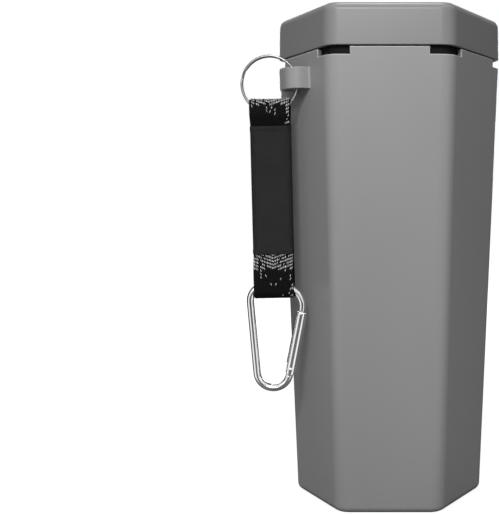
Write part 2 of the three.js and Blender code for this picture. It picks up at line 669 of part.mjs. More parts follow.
// The gate bar: round, forked at the hinge and at the nose, with a bore for its spring.
function buildGate() {
  const top = GATE_LENGTH + GATE_END_REACH;
  const bar = toSolid(uprightCylinder(GATE_RADIUS, -GATE_RADIUS, top, ROUND_SEGMENTS));
  const side = new THREE.Shape();
  side.moveTo(GATE_RADIUS, 0);
  side.lineTo(GATE_RADIUS, top);
  side.lineTo(-GATE_RADIUS, top);
  side.lineTo(-GATE_RADIUS, 0);
  side.absarc(0, 0, GATE_RADIUS, Math.PI, 2 * Math.PI, false);
  const rounded = new THREE.ExtrudeGeometry(side, {
    depth: 2 * GATE_RADIUS + OVERRUN, bevelEnabled: false, curveSegments: 8,
  });
  rounded.translate(0, 0, -GATE_RADIUS - OVERRUN / 2);
  rounded.rotateX(Math.PI / 2);
  let gate = bar.intersect(toSolid(rounded));

  const slotHalf = TANG_HALF_THICKNESS + GAP;
  const slot = (lowZ, highZ) => {
    const cutter = boxSolid(2 * GATE_RADIUS + OVERRUN, 2 * slotHalf, highZ - lowZ);
    cutter.translate(0, 0, (lowZ + highZ) / 2);
    return toSolid(cutter);
  };
  gate = gate.subtract(slot(-GATE_RADIUS - OVERRUN, GATE_SLOT_DEPTH));
  gate = gate.subtract(slot(GATE_LENGTH - NOSE_SLOT_DEPTH, top + OVERRUN));
  gate = gate.subtract(toSolid(uprightCylinder(GATE_BORE_RADIUS, 0, GATE_SLOT_DEPTH + GATE_BORE_LENGTH)));
  gate = gate.subtract(toSolid(crossPin(PIN_RADIUS + PIN_CLEARANCE, GATE_RADIUS + OVERRUN, 0)));
  const latchHole = crossPin(LATCH_PIN_RADIUS + PIN_CLEARANCE, GATE_RADIUS + OVERRUN, GATE_LENGTH - LATCH_PIN_DROP);
  return gate.subtract(toSolid(latchHole));
}

class Helix extends THREE.Curve {
  constructor(radius, turns, lowZ, highZ) {
    super();
    this.radius = radius;
    this.turns = turns;
    this.lowZ = lowZ;
    this.highZ = highZ;
  }

  getPoint(share, target = new THREE.Vector3()) {
    const angle = share * this.turns * 2 * Math.PI;
    const z = this.lowZ + (this.highZ - this.lowZ) * share;
    return target.set(this.radius * Math.cos(angle), this.radius * Math.sin(angle), z);
  }
}

const PLUNGER_LOW_Z = WIRE_RADIUS + GAP;
const SPRING_LOW_Z = PLUNGER_LOW_Z + PLUNGER_LENGTH + GAP;
const SPRING_HIGH_Z = GATE_SLOT_DEPTH + GATE_BORE_LENGTH - GAP;

function buildGateSpring() {
  const radius = GATE_BORE_RADIUS - GAP - SPRING_WIRE / 2;
  const end = SPRING_WIRE / 2;
  const section = new THREE.Shape();
  section.absarc(0, 0, SPRING_WIRE / 2, 0, 2 * Math.PI, false);
  return new THREE.ExtrudeGeometry(section, {
    steps: SPRING_TURNS * SPRING_STEPS, curveSegments: 5, bevelEnabled: false,
    extrudePath: new Helix(radius, SPRING_TURNS, SPRING_LOW_Z + end, SPRING_HIGH_Z - end),
  });
}

function buildStrapAndRing() {
  const ringGroup = new THREE.Group();
  ringGroup.position.set(RING_CENTRE_X, RING_AXIS.y, RING_CENTRE_Z);
  part.add(ringGroup);
  addPiece('split_ring', buildSplitRing(), BRIGHT_STEEL, ringGroup);

  const strapGroup = new THREE.Group();
  strapGroup.rotation.y = -STRAP_LEAN;
  strapGroup.position.set(strapCentreX(0), RING_AXIS.y, 0);
  part.add(strapGroup);
  addPiece('webbing_strap', buildStrap(), BLACK_WEBBING, strapGroup);
  addPiece('strap_sleeve', buildSleeve(), SLEEVE_FABRIC, strapGroup);
}

function buildCarabiner() {
  addPiece('carabiner_body', buildCarabinerBody(), BRIGHT_STEEL);
  const gateGroup = new THREE.Group();
  gateGroup.applyMatrix4(GATE_MATRIX);
  part.add(gateGroup);
  const pinHalf = GATE_RADIUS;
  const latchZ = GATE_LENGTH - LATCH_PIN_DROP;
  addPiece('carabiner_gate', buildGate(), BRIGHT_STEEL, gateGroup);
  addPiece('gate_hinge_pin', crossPin(PIN_RADIUS, pinHalf, 0), BRIGHT_STEEL, gateGroup);
  addPiece('gate_latch_pin', crossPin(LATCH_PIN_RADIUS, pinHalf - GAP, latchZ), BRIGHT_STEEL, gateGroup);
  const plungerRadius = GATE_BORE_RADIUS - GAP;
  const plunger = uprightCylinder(plungerRadius, PLUNGER_LOW_Z, PLUNGER_LOW_Z + PLUNGER_LENGTH);
  addPiece('gate_plunger', plunger, BRIGHT_STEEL, gateGroup);
  addPiece('gate_spring', buildGateSpring(), BRIGHT_STEEL, gateGroup);
}

addPiece('cup_shell', buildCup(), GREY_PLASTIC);
addPiece('lid_shell', buildLidShell(), GREY_PLASTIC);
addPiece('lid_plug', buildLidPlug(), INNER_PLASTIC);
addPiece('lid_seal', buildLidSeal(), BLACK_RUBBER);
addPiece('insert_base', buildInsertBase(), INNER_PLASTIC);
addPiece('insert_ring', buildInsertRing(), INNER_PLASTIC);
buildBrushes();
addPiece('floor_brush_plate', buildFloorPlate(), INNER_PLASTIC);
addPiece('floor_bristles', buildFloorBristles(), BRISTLE_NYLON);
buildStrapAndRing();
buildCarabiner();

export default part;
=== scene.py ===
# Golf ball washer: a tapered hexagonal cup with a lid and inner brushes, and a hanger of split ring,
# webbing strap and carabiner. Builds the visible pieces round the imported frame, in metres.

import math

import bmesh
import bpy
import numpy as np
from bpy.props import FloatProperty, FloatVectorProperty, IntProperty, PointerProperty
from bpy.types import Operator, Panel, PropertyGroup
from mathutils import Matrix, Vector


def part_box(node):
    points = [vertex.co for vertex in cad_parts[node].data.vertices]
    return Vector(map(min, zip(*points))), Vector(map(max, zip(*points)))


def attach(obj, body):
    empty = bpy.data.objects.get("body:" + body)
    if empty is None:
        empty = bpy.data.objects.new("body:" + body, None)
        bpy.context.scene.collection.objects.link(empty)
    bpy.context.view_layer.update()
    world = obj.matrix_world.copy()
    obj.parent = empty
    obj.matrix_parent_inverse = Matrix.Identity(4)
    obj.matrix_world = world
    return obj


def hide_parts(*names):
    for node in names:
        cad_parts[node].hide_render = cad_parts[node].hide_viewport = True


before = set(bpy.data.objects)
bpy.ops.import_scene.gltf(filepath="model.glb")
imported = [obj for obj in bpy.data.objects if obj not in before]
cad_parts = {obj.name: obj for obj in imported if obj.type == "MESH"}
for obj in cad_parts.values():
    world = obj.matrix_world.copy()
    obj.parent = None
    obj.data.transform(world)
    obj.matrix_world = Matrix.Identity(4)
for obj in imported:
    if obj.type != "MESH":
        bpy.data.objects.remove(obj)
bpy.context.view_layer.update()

bl_info = {
    "name": "Golf ball washer",
    "version": (1, 0, 0),
    "blender": (4, 5, 0),
    "location": "3D View > Sidebar > Washer",
    "description": "Hexagonal ball washer cup with its lid, brushes, split ring, strap and carabiner",
    "category": "Add Mesh",
}

MM = 0.001
TURN = 2 * math.pi
SIDES = 6
FLAT = math.sqrt(3) / 2
CORNER_STEPS = 14
EDGE_STEPS = 5
LEAST_RADIUS = 0.4 * MM
SMOOTH_ANGLE = math.radians(38)

# Rubbed edges: the largest face on one, in square metres, its full bend per metre, and how much the rim's and
# notches' edges are boosted into a painted highlight
BIG_FACE = 6e-6
FULL_BEND = 900
RIM_HIGHLIGHT = 5

# Points in one pill of thread and in one bristle, and the shape of a bristle
PILL_POINTS = 42
BRISTLE_POINTS = 8
TIP_SHARE = 0.6
SHORTEST_SHARE = 0.93
SPLAY = 0.03

# The photograph's frame, in pixels, and the camera fitted to it
PHOTO_WIDTH = 499
PHOTO_HEIGHT = 514
FOCAL_LENGTH = 933.8
MIDDLE_COLUMN = 379.7
SENSOR_WIDTH = 36
EYE = (-0.0042, -0.4299, 0.1328)
EYE_TILT = math.radians(90 - 3.31)

# Each lamp's name, place, aim, width, height and power
LAMPS = (
    ("Front key", (0.02, -0.5, 0.43), (0, -0.04, 0.12), 0.12, 0.12, 0.72),
    ("Left key", (-0.09, -0.49, 0.44), (0, -0.04, 0.12), 0.12, 0.12, 1.3),
    ("Front panel", (-0.12, -0.85, 0.26), (0, 0, 0.16), 0.2, 0.45, 0.62),
    ("Corner strip", (-0.39, -0.52, 0.31), (-0.025, -0.042, 0.18), 0.05, 0.2, 0.12),
    ("Top panel", (0, 0.08, 0.85), (0, 0, 0.1), 0.15, 0.15, 1.6),
    ("Back left panel", (-0.3, 0.9, 0.35), (0, 0, 0.12), 0.4, 0.4, 3.0),
    ("Back right panel", (0.3, 0.9, 0.35), (0, 0, 0.12), 0.4, 0.4, 3.0),
)
AMBIENT = 0.3
FLOOR_REACH = 4.0
CLIP_PLACE = (-0.05, -0.027, 0.0)


# Kinds of setting

def length(name, millimetres, description):
    return FloatProperty(
        name=name, description=description, default=millimetres * MM, min=0, precision=5, unit="LENGTH"
    )


def angle(name, degrees, description):
    return FloatProperty(name=name, description=description, default=math.radians(degrees), unit="ROTATION")


def count(name, number, description):
    return IntProperty(name=name, description=description, default=number, min=1)


def colour(name, rgb, description):
    return FloatVectorProperty(
        name=name, description=description, default=rgb, size=3, min=0, max=1, subtype="COLOR"
    )


class CupSizes(PropertyGroup):
    """Sizes of the cup and its lug."""

    height: length("Height", 197.2, "Height of the cup's rim above its base")
    rim_side: length("Rim side", 51.1, "Side of the hexagon at the rim, before its corners are rounded")
    base_side: length("Base side", 43.4, "Side of the hexagon at the base, before its corners are rounded")
    corner_radius: length("Corner radius", 8, "Radius of the six upright corners")
    base_round: length("Base round", 3, "Radius between the base and the walls")
    wall: length("Wall", 2.6, "Thickness of the wall")
    floor: length("Floor", 3.2, "Thickness of the floor")
    neck_height: length("Neck height", 8, "Height of the neck that the lid slides over")
    neck_inset: length("Neck inset", 2.6, "Distance from the cup's wall in to the neck's")
    neck_wall: length("Neck wall", 2, "Thickness of the neck")
    notch_height: length("Notch height", 3.5, "Height of the finger notch at each corner of the rim")
    notch_width: length("Notch width", 15.6, "Width of the finger notch at each corner of the rim")
    edge_round: length("Edge round", 0.35, "Radius of the rim's and the notches' edges")
    shoulder_drop: length("Shoulder drop", 0.35, "How far the shoulder under the lid lies below the rim")
    lug_half_width: length("Lug half width", 8, "Half of the lug's width along the wall")
    lug_reach: length("Lug reach", 9, "How far the lug stands out from the wall")
    lug_corner: length("Lug corner", 6, "Radius of the lug's two outer corners")
    lug_wall: length("Lug wall", 1.5, "Thickness of the lug")
    lug_height: length("Lug height", 9, "Height of the lug")
    lug_drop: length("Lug drop", 15.6, "Distance from the rim down to the lug's underside")
    lug_along: length("Lug along", 25.1, "Distance of the lug from the front left corner")
    lug_root: length("Lug root round", 0.9, "Radius where the lug meets the wall")


class LidSizes(PropertyGroup):
    """Sizes of the lid, its plug and its seal."""

    height: length("Height", 18, "Height of the lid above the cup's rim")
    joint: length("Joint", 0.3, "Height of the lid's lower edge above the rim")
    gap: length("Gap", 0.3, "Gap between fitted pieces")
    top_side: length("Top side", 50.8, "Side of the hexagon at the top, before its corners are rounded")
    wall: length("Wall", 2.2, "Thickness of the lid's wall")
    roof: length("Roof", 2.6, "Thickness of the lid's roof")
    top_round: length("Top round", 3.5, "Radius round the lid's top")
    edge_round: length("Edge round", 0.4, "Radius of the lid's lower edges")
    plug_clearance: length("Plug clearance", 1, "Gap between the plug and the neck")
    plug_depth: length("Plug depth", 5, "Depth that the plug reaches into the neck")
    plug_wall: length("Plug wall", 2.4, "Thickness of the plug's wall")
    plug_roof: length("Plug roof", 2, "Thickness of the plug's roof")
    groove_depth: length("Groove depth", 1.2, "Depth of the seal's groove")
    groove_height: length("Groove height", 2.6, "Height of the seal's groove")
    groove_rise: length("Groove rise", 1.4, "Distance from the plug's lower edge up to the groove")


class BrushSizes(PropertyGroup):
    """Sizes of the brush set inside the cup."""

    clearance: length("Clearance", 0.5, "Gap between the brush set and the cup's wall")
    gap: length("Gap", 0.3, "Gap between stacked pieces")
    base_thickness: length("Base thickness", 3, "Thickness of the drained base plate")
    ring_width: length("Ring width", 7, "Width of the ring, square to its flats")
    hole_radius: length("Hole radius", 2.5, "Radius of a drain hole")
    hole_circle: length("Hole circle", 24, "Radius of the circle of drain holes")
    panel_thickness: length("Panel thickness", 2, "Thickness of a brush panel")
    panel_edge: length("Panel edge", 1.4, "Gap between neighbouring panels, on each side")
    bristle_length: length("Bristle length", 12.5, "Length of a wall bristle")
    bristle_edge: length("Bristle edge", 2.5, "Bare edge at each side of a panel")
    bristle_end: length("Bristle end", 3, "Bare edge at the top and bottom of a panel")
    tip_draw: length("Tip draw", 2.4, "Distance that a side bristle leans inwards at its tip")
    tuft_radius: length("Tuft radius", 1.1, "Radius of one tuft of bristles")
    bristle_radius: length("Bristle radius", 0.16, "Radius of one bristle")
    tuft_columns: count("Tuft columns", 6, "Tufts across a panel")
    tuft_rows: count("Tuft rows", 34, "Tufts up a panel")
    floor_radius: length("Floor brush radius", 15, "Radius of the floor brush's bristles")
    floor_length: length("Floor bristle length", 11, "Length of the floor brush's bristles")
    floor_crown: length("Floor crown", 2.5, "Drop of the outer bristles below the middle ones")
    floor_plate: length("Floor plate", 2, "Thickness of the floor brush's plate")


class RingSizes(PropertyGroup):
    """Sizes of the split ring."""

    wire_radial: length("Wire width", 1.12, "Width of the wire, from the ring's middle outwards")
    wire_axial: length("Wire thickness", 1.12, "Thickness of the wire along the ring's axis")
    coil_pitch: length("Coil pitch", 1.2, "Distance between the two coils")
    wire_round: length("Wire round", 0.53, "Radius of the wire's corners")
    crossing_at: angle("Crossing at", 160, "Where the wire crosses from one coil to the other")
    crossing_width: angle("Crossing width", 20, "How much of the ring the crossing takes up")


class StrapSizes(PropertyGroup):
    """Sizes of the webbing strap, its sleeve and its stitches."""

    width: length("Width", 17.2, "Width of the webbing")
    thickness: length("Thickness", 0.95, "Thickness of the webbing under its raised threads")
    lean: angle("Lean", 1.05, "How far the strap hangs from upright")
    loop_radius: length("Loop radius", 3.2, "Radius of each loop, to the middle of the webbing")
    layer_depth: length("Layer depth", 0.62, "Distance of each layer from the middle of the strap")
    fold_sag: length("Fold sag", 0.3, "Drop of the top fold's middle below its edges")
    top_fold_drop: length("Top fold drop", 1.35, "Distance from the solid's top down to the fold's middle line")
    low_fold_rise: length("Low fold rise", 1.6, "Distance from the solid's foot up to the fold's middle line")
    top_shoulder: length("Top shoulder", 6.6, "Distance from the top fold down to its loop's shoulder")
    low_shoulder: length("Low shoulder", 11, "Distance from the low fold up to its loop's shoulder")
    sleeve_half_width: length("Sleeve half width", 8.85, "Half of the sleeve's width outside")
    sleeve_half_depth: length("Sleeve half depth", 1.85, "Half of the sleeve's depth outside")
    sleeve_wall: length("Sleeve wall", 0.38, "Thickness of the sleeve's cloth")
    hem_height: length("Hem height", 2, "Height of the turned hem at each end of the sleeve")
    thread_pitch: length("Thread pitch", 0.7, "Distance between raised threads across the webbing")
    float_pitch: length("Float pitch", 1.45, "Distance between raised threads along the webbing")
    float_length: length("Float length", 1.2, "Length of one raised thread")
    float_step: length("Float step", 0.25, "Shift from one column of threads to the next")
    float_height: length("Float height", 0.16, "Height of a raised thread above the webbing")
    thread_turn: angle("Thread turn", 20, "How far the raised threads lean out from the middle")
    stitch_pitch: length("Stitch pitch", 2.5, "Distance between stitches")
    stitch_length: length("Stitch length", 1.8, "Length of one stitch")
    stitch_radius: length("Stitch radius", 0.2, "Radius of the sewing thread")


class CarabinerSizes(PropertyGroup):
    """Sizes of the carabiner, measured from its gate's hinge."""

    wire_radius: length("Wire radius", 1.6, "Radius of the bent wire")
    gate_length: length("Gate length", 24.7, "Distance from the hinge to the nose")
    gate_lean: angle("Gate lean", 11.4, "How far the gate leans from upright")
    bottom_bend: length("Bottom bend", 7, "Radius of the two lower bends")
    top_left_bend: length("Top left bend", 7.2, "Radius of the upper bend on the left")
    top_right_bend: length("Top right bend", 8, "Radius of the upper bend on the right")
    gate_radius: length("Gate radius", 2.4, "Radius of the gate")
    gate_reach: length("Gate reach", 0.5, "How far the gate passes the nose's line")
    tang_half: length("Tang half thickness", 1, "Half of the thickness of each flat tang")
    tang_root: length("Tang root", 2.9, "Length of the hinge's tang below the pin")
    nose_tang: length("Nose tang", 4.2, "Length of the nose's tang")
    nose_root: length("Nose root", 1.2, "How far the nose's tang is cut back past its line")
    slot_depth: length("Slot depth", 2.7, "Depth of the slot at the gate's hinge")
    nose_slot: length("Nose slot", 4.9, "Depth of the slot at the gate's nose")
    clearance: length("Clearance", 0.3, "Gap between the tangs and the gate")
    rivet_radius: length("Rivet radius", 0.75, "Radius of the hinge's rivet")
    latch_radius: length("Latch radius", 0.55, "Radius of the latch pin")
    latch_drop: length("Latch drop", 1.9, "Distance of the latch pin below the nose's line")
    edge_round: length("Edge round", 0.14, "Width of the small bevels on the gate and tangs")


class Finishes(PropertyGroup):
    """Colours of the finishes, with the painted shade on the lid and neck and the painted glints on the
    threads.
    """

    cup_grey: colour("Cup plastic", (0.315, 0.315, 0.315), "Moulded grey of the cup")
    # Painted shade: the lid's grey is set darker than the cup's, for how the lid reads under the lamps
    lid_shaded_grey: colour("Lid plastic", (0.235, 0.235, 0.235), "Grey of the lid, set darker than the cup's as painted shade")
    # Painted shade: the neck's black stands in for the shadow in the finger notches and under the lid's edge
    neck_shade_black: colour("Neck", (0.012, 0.012, 0.012), "Painted shade: black on the neck that the lid slides over")
    inner_grey: colour("Inner plastic", (0.16, 0.165, 0.17), "Darker grey of the brush set and plug")
    bristle: colour("Bristles", (0.72, 0.72, 0.68), "Off-white nylon")
    rubber: colour("Seal", (0.03, 0.03, 0.032), "Soft black seal")
    webbing: colour("Webbing", (0.006, 0.006, 0.0065), "Black webbing")
    # Painted glints: pale threads where the webbing faces up to the light
    webbing_glint: colour("Glinting threads", (1, 1, 1), "Painted glints: threads painted pale where the webbing faces up to the light")
    sleeve: colour("Sleeve", (0.012, 0.012, 0.0127), "Smooth black sleeve")
    stitch: colour("Stitches", (0.014, 0.014, 0.015), "Sewing thread")
    steel: colour("Steel", (0.82, 0.82, 0.83), "Bright plated steel of the carabiner")
    ring: colour("Ring steel", (0.26, 0.26, 0.265), "Greyer plated steel of the split ring")
    backdrop: colour("Backdrop", (1, 1, 1), "Plain white round the object")
    floor: colour("Floor", (0.15, 0.15, 0.15), "Plain floor, as it lights the object")


# Meshes

def link(name, mesh):
    piece = bpy.data.objects.new(name, mesh)
    bpy.context.scene.collection.objects.link(piece)
    return piece


def read(collection, key, width, kind=float):
    """One row of values for each element of a mesh's collection."""
    values = np.empty(len(collection) * width, kind)
    collection.foreach_get(key, values)
    return values.reshape(-1, width)


def points_of(piece):
    return read(piece.data.vertices, "co", 3)


def set_points(piece, points):
    piece.data.vertices.foreach_set("co", np.ascontiguousarray(points, float).ravel())
    piece.data.update()


def store(piece, name, values):
    """Stores a number or a vector for each point, under a name that a material reads."""
    kind, key = ("FLOAT_VECTOR", "vector") if values.ndim > 1 else ("FLOAT", "value")
    mark = piece.data.attributes.new(name, kind, "POINT")
    mark.data.foreach_set(key, values.astype(np.float32).ravel())


def circle(radius, number, x=0.0, y=0.0):
    """Pairs round a circle."""
    turns = (k * TURN / number for k in range(number))
    return [(x + radius * math.cos(a), y + radius * math.sin(a)) for a in turns]


def rounded_box(half, low, high, radius, steps):
    """Pairs round a box with rounded corners."""
    pairs = []
    corners = ((1, high - radius), (-1, high - radius), (-1, low + radius), (1, low + radius))
    for quarter, (side, end) in enumerate(corners):
        for step in range(steps + 1):
            turn = (quarter + step / steps) * math.pi / 2
            pairs.append((side * (half - radius) + radius * math.cos(turn), end + radius * math.sin(turn)))
    return pairs


def skin(name, rows, cyclic=False):
    """A closed mesh over rows of points. Each row is a ring, and cyclic joins the last row to the first."""
    rows = np.asarray(rows, float)
    row_count, ring = rows.shape[:2]
    faces = []
    for row in range(row_count if cyclic else row_count - 1):
        low, high = row * ring, ((row + 1) % row_count) * ring
        for i in range(ring):
            on = (i + 1) % ring
            faces.append((low + i, low + on, high + on, high + i))
    if not cyclic:
        faces.append(tuple(range(ring))[::-1])
        faces.append(tuple(range((row_count - 1) * ring, row_count * ring)))
    mesh = bpy.data.meshes.new(name)
    mesh.from_pydata(rows.reshape(-1, 3).tolist(), [], faces)
    tidy_mesh(mesh)
    return link(name, mesh)


def tidy_mesh(mesh):
    shape = bmesh.new()
    shape.from_mesh(mesh)
    bmesh.ops.remove_doubles(shape, verts=shape.verts, dist=1e-7)
    bmesh.ops.recalc_face_normals(shape, faces=shape.faces)
    shape.to_mesh(mesh)
    shape.free()


def bake_modifiers(piece):
    """Turns a piece with its modifiers into a plain mesh."""
    graph = bpy.context.evaluated_depsgraph_get()
    mesh = bpy.data.meshes.new_from_object(
        piece.evaluated_get(graph), preserve_all_data_layers=True, depsgraph=graph
    )
    old = piece.data
    piece.modifiers.clear()
    piece.data = mesh
    mesh.name = piece.name
    if old.users == 0:
        bpy.data.meshes.remove(old)


def combine(piece, tool, operation="DIFFERENCE"):
    """Cuts the tool out of the piece, or joins it on, and takes the tool away."""
    modifier = piece.modifiers.new("combine", "BOOLEAN")
    modifier.operation = operation
    modifier.solver = "MANIFOLD"
    modifier.object = tool
    bake_modifiers(piece)
    bpy.data.objects.remove(tool)
    return piece


def round_edges(piece, width, chosen=lambda middle: True, segments=2):
    """Bevels the outward edges sharper than the smooth angle for which chosen(middle) is true."""
    shape = bmesh.new()
    shape.from_mesh(piece.data)
    weight = shape.edges.layers.float.new("bevel_weight_edge")
    for edge in shape.edges:
        if len(edge.link_faces) == 2 and edge.is_convex and edge.calc_face_angle() > SMOOTH_ANGLE:
            middle = (edge.verts[0].co + edge.verts[1].co) / 2
            edge[weight] = 1.0 if chosen(middle) else 0.0
    shape.to_mesh(piece.data)
    shape.free()
    modifier = piece.modifiers.new("edges", "BEVEL")
    modifier.limit_method = "WEIGHT"
    modifier.width = width
    modifier.segments = segments
    modifier.use_clamp_overlap = False
    bake_modifiers(piece)


def smooth(piece, weighted=True):
    """Smooth shading that keeps sharp edges, with flat faces kept flat next to rounded ones."""
    piece.data.polygons.foreach_set("use_smooth", np.ones(len(piece.data.polygons), bool))
    piece.data.set_sharp_from_angle(angle=SMOOTH_ANGLE)
    if weighted:
        modifier = piece.modifiers.new("normals", "WEIGHTED_NORMAL")
        modifier.keep_sharp = True
        bake_modifiers(piece)
    return piece


def mark_edges(piece):
    """Stores edge, which is 1 on small rounded edges and 0 on flats, for rubbed paler edges, polish and, on the
    rim, a painted highlight.
    """
    points, mesh = points_of(piece), piece.data
    normals = read(mesh.vertex_normals, "vector", 3)
    start, end = read(mesh.edges, "vertices", 2, int).T
    run = points[end] - points[start]
    size = np.maximum(np.linalg.norm(run, axis=1), 1e-9)
    bend = np.einsum("ij,ij->i", normals[end] - normals[start], run) / size**2
    sums, hits = np.zeros(len(points)), np.zeros(len(points))
    for ends in (start, end):
        np.add.at(sums, ends, bend)
        np.add.at(hits, ends, 1)
    worn = np.clip(sums / np.maximum(hits, 1) / FULL_BEND, 0, 1)
    for face in mesh.polygons:
        if face.area > BIG_FACE:
            worn[list(face.vertices)] = 0
    store(piece, "edge", worn)


def finish_piece(piece, body, material, slot, *replaced):
    piece.data.materials.clear()
    piece.data.materials.append(material)
    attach(piece, body)
    if replaced:
        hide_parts(*replaced)


# The rounded hexagon and what is drawn round it

def hexagon(apothem, radius, z):
    """One ring of a rounded hexagon. Its apothem is the distance from the middle to a flat."""
    centre = (apothem - radius) / FLAT
    ring = []
    for corner in range(SIDES):
        facing = corner * TURN / SIDES
        for step in range(CORNER_STEPS + 1):
            turn = facing + (step / CORNER_STEPS - 0.5) * TURN / SIDES
            ring.append((
                centre * math.cos(facing) + radius * math.cos(turn),
                centre * math.sin(facing) + radius * math.sin(turn),
                z,
            ))
    return ring


def corner_arc(before, here, after, radius, steps):
    """The middle of the arc that rounds a corner of a flat line, and its points as seen from there."""
    here = Vector(here)
    back, on = ((Vector(point) - here).normalized() for point in (before, after))
    half = back.angle(on) / 2
    centre = here + (back + on).normalized() * (radius / math.sin(half))
    start, end = (here + way * (radius / math.tan(half)) - centre for way in (back, on))
    turn = math.atan2(start.cross(end), start.dot(end))
    arc = []
    for step in range(steps + 1):
        c, s = math.cos(turn * step / steps), math.sin(turn * step / steps)
        arc.append((start.x * c - start.y * s, start.x * s + start.y * c))
    return centre, arc


def hex_moulding(name, corners, closed=False):
    """A hexagonal moulding. A corner is (apothem, z, corner radius of the hexagon, radius of the edge)."""
    rows = []
    for i, (apothem, z, radius, edge) in enumerate(corners):
        arc = [(apothem, z)]
        if edge > 0 and (closed or 0 < i < len(corners) - 1):
            after = corners[(i + 1) % len(corners)]
            centre, arc = corner_arc(corners[i - 1][:2], (apothem, z), after[:2], edge, EDGE_STEPS)
            arc = [(centre.x + x, centre.y + height) for x, height in arc]
        rows += [hexagon(x, max(radius + x - apothem, LEAST_RADIUS), height) for x, height in arc]
    return skin(name, rows, cyclic=closed)


def mould(name, corners, body, material, slot, node, closed=False, marked=True):
    """A hexagonal moulding, finished."""
    piece = smooth(hex_moulding(name, corners, closed))
    if marked:
        mark_edges(piece)
    finish_piece(piece, body, material, slot, node)


class CupForm:
    """The cup's faces, worked out from its sizes."""

    def __init__(self, sizes):
        self.sizes = sizes
        self.rim = sizes.rim_side * FLAT
        self.base = sizes.base_side * FLAT
        self.neck = self.rim - sizes.neck_inset
        self.neck_radius = sizes.corner_radius - sizes.neck_inset
        self.neck_top = sizes.height + sizes.neck_height
        self.mouth = self.neck - sizes.neck_wall
        self.well_radius = sizes.corner_radius - sizes.wall

    def outside(self, z):
        return self.base + (self.rim - self.base) * z / self.sizes.height

    def inside(self, z):
        low = self.base - self.sizes.wall
        rise = (z - self.sizes.floor) / (self.neck_top - self.sizes.floor)
        return low + (self.mouth - low) * rise


def upright_box(name, low, high, turned=0.0):
    """A box from its lowest to its highest corner, then turned about the cup's axis."""
    (x0, y0, z0), (x1, y1, z1) = low, high
    c, s = math.cos(turned), math.sin(turned)
    rows = [
        [(x * c - y * s, x * s + y * c, z) for x, y in ((x0, y0), (x1, y0), (x1, y1), (x0, y1))]
        for z in (z0, z1)
    ]
    return skin(name, rows)


def lug_rows(sizes, form):
    """The lug: a wall bent into a wide U, its ends sunk in the cup's wall and flared at the root."""
    low = sizes.height - sizes.lug_drop
    side = form.outside(low) / FLAT
    slope = (form.rim - form.base) / sizes.height
    facing = 7 * math.pi / SIDES
    out = Vector((math.cos(facing), math.sin(facing), 0))
    along = Vector((math.sin(facing), -math.cos(facing), 0))
    root = Vector((-side / 2, -side * FLAT, 0)) + along * sizes.lug_along
    half = sizes.lug_wall / 2
    wide, reach, bend = (v - half for v in (sizes.lug_half_width, sizes.lug_reach, sizes.lug_corner))
    flare = sizes.lug_root
    near = [-sizes.wall * 0.6] + [flare * (1 - math.cos(t * math.pi / 16)) for t in range(9)]
    turns = [t * math.pi / 20 for t in range(11)]
    path = [(-wide, v, -1.0, 0.0) for v in near]
    path += [(bend - wide - bend * math.cos(t), reach - bend + bend * math.sin(t), -math.cos(t), math.sin(t))
             for t in turns]
    path += [(wide - bend + bend * math.sin(t), reach - bend + bend * math.cos(t), math.sin(t), math.cos(t))
             for t in turns]
    path += [(wide, v, 1.0, 0.0) for v in reversed(near)]
    section = rounded_box(half, 0, sizes.lug_height, 0.35 * MM, 3)
    rows = []
    for u, v, nu, nv in path:
        short = min(max(flare - v, 0), flare)
        spread = (flare - math.sqrt(flare**2 - short**2)) / half
        row = []
        for n, z in section:
            off = n * (1 + spread)
            place = root + along * (u + nu * off) + out * (v + nv * off + slope * z)
            row.append((place.x, place.y, low + z - slope * (v + nv * off)))
        rows.append(row)
    return rows


class WASHER_OT_cup(Operator):
    """Build the cup as one moulding with its neck, finger notches and lug"""

    bl_idname = "washer.cup"
    bl_label = "Cup"

    def execute(self, context):
        sizes = context.scene.washer_cup
        form = CupForm(sizes)
        corner, top = sizes.corner_radius, sizes.height
        well = form.well_radius
        shoulder = top - sizes.shoulder_drop
        cup = hex_moulding("cup", [
            (form.base - 6 * MM, 0, corner, 0),
            (form.base, 0, corner, sizes.base_round),
            (form.rim, shoulder, corner, 0),
            (form.neck, shoulder, form.neck_radius, 0.25 * MM),
            (form.neck, form.neck_top, form.neck_radius, 0.6 * MM),
            (form.mouth, form.neck_top, form.neck_radius - sizes.neck_wall, 0.6 * MM),
            (form.inside(sizes.floor), sizes.floor, well, 1.2 * MM),
            (form.inside(sizes.floor) - 4 * MM, sizes.floor, well, 0),
        ])
        notch_floor = top - sizes.notch_height
        half = sizes.notch_width / 2
        for i in range(SIDES):
            cutter = upright_box(
                "notch", (sizes.rim_side * 0.7, -half, notch_floor), (sizes.rim_side * 1.3, half, top + MM),
                i * TURN / SIDES,
            )
            core = hex_moulding("core", [
                (form.neck, notch_floor - 2 * MM, form.neck_radius, 0),
                (form.neck, top + 2 * MM, form.neck_radius, 0),
            ])
            combine(cup, combine(cutter, core))
        outer, margin = form.neck + 0.5 * MM, 0.1 * MM
        round_edges(cup, sizes.edge_round, lambda p: notch_floor - margin < p.z < top + margin
                    and flat_distance(np.array(p)) > outer, 3)
        combine(cup, skin("lug", lug_rows(sizes, form)), "UNION")
        smooth(cup)
        mark_edges(cup)
        # Boosts the edge mark on the rim and notches, which the plastic turns into a painted highlight
        paint_rim_highlight(cup, form.neck + 1.2 * MM, notch_floor - 0.5 * MM, top + margin)
        finish_piece(cup, "cup", cup_plastic(context), "cup_plastic", "cup_shell")
        # Painted shade: the neck's outer face gets a near-black material for the shadow in the notches and
        # under the lid
        paint_neck_shade(cup, form, notch_floor, neck_shade_plastic(context))
        return {"FINISHED"}


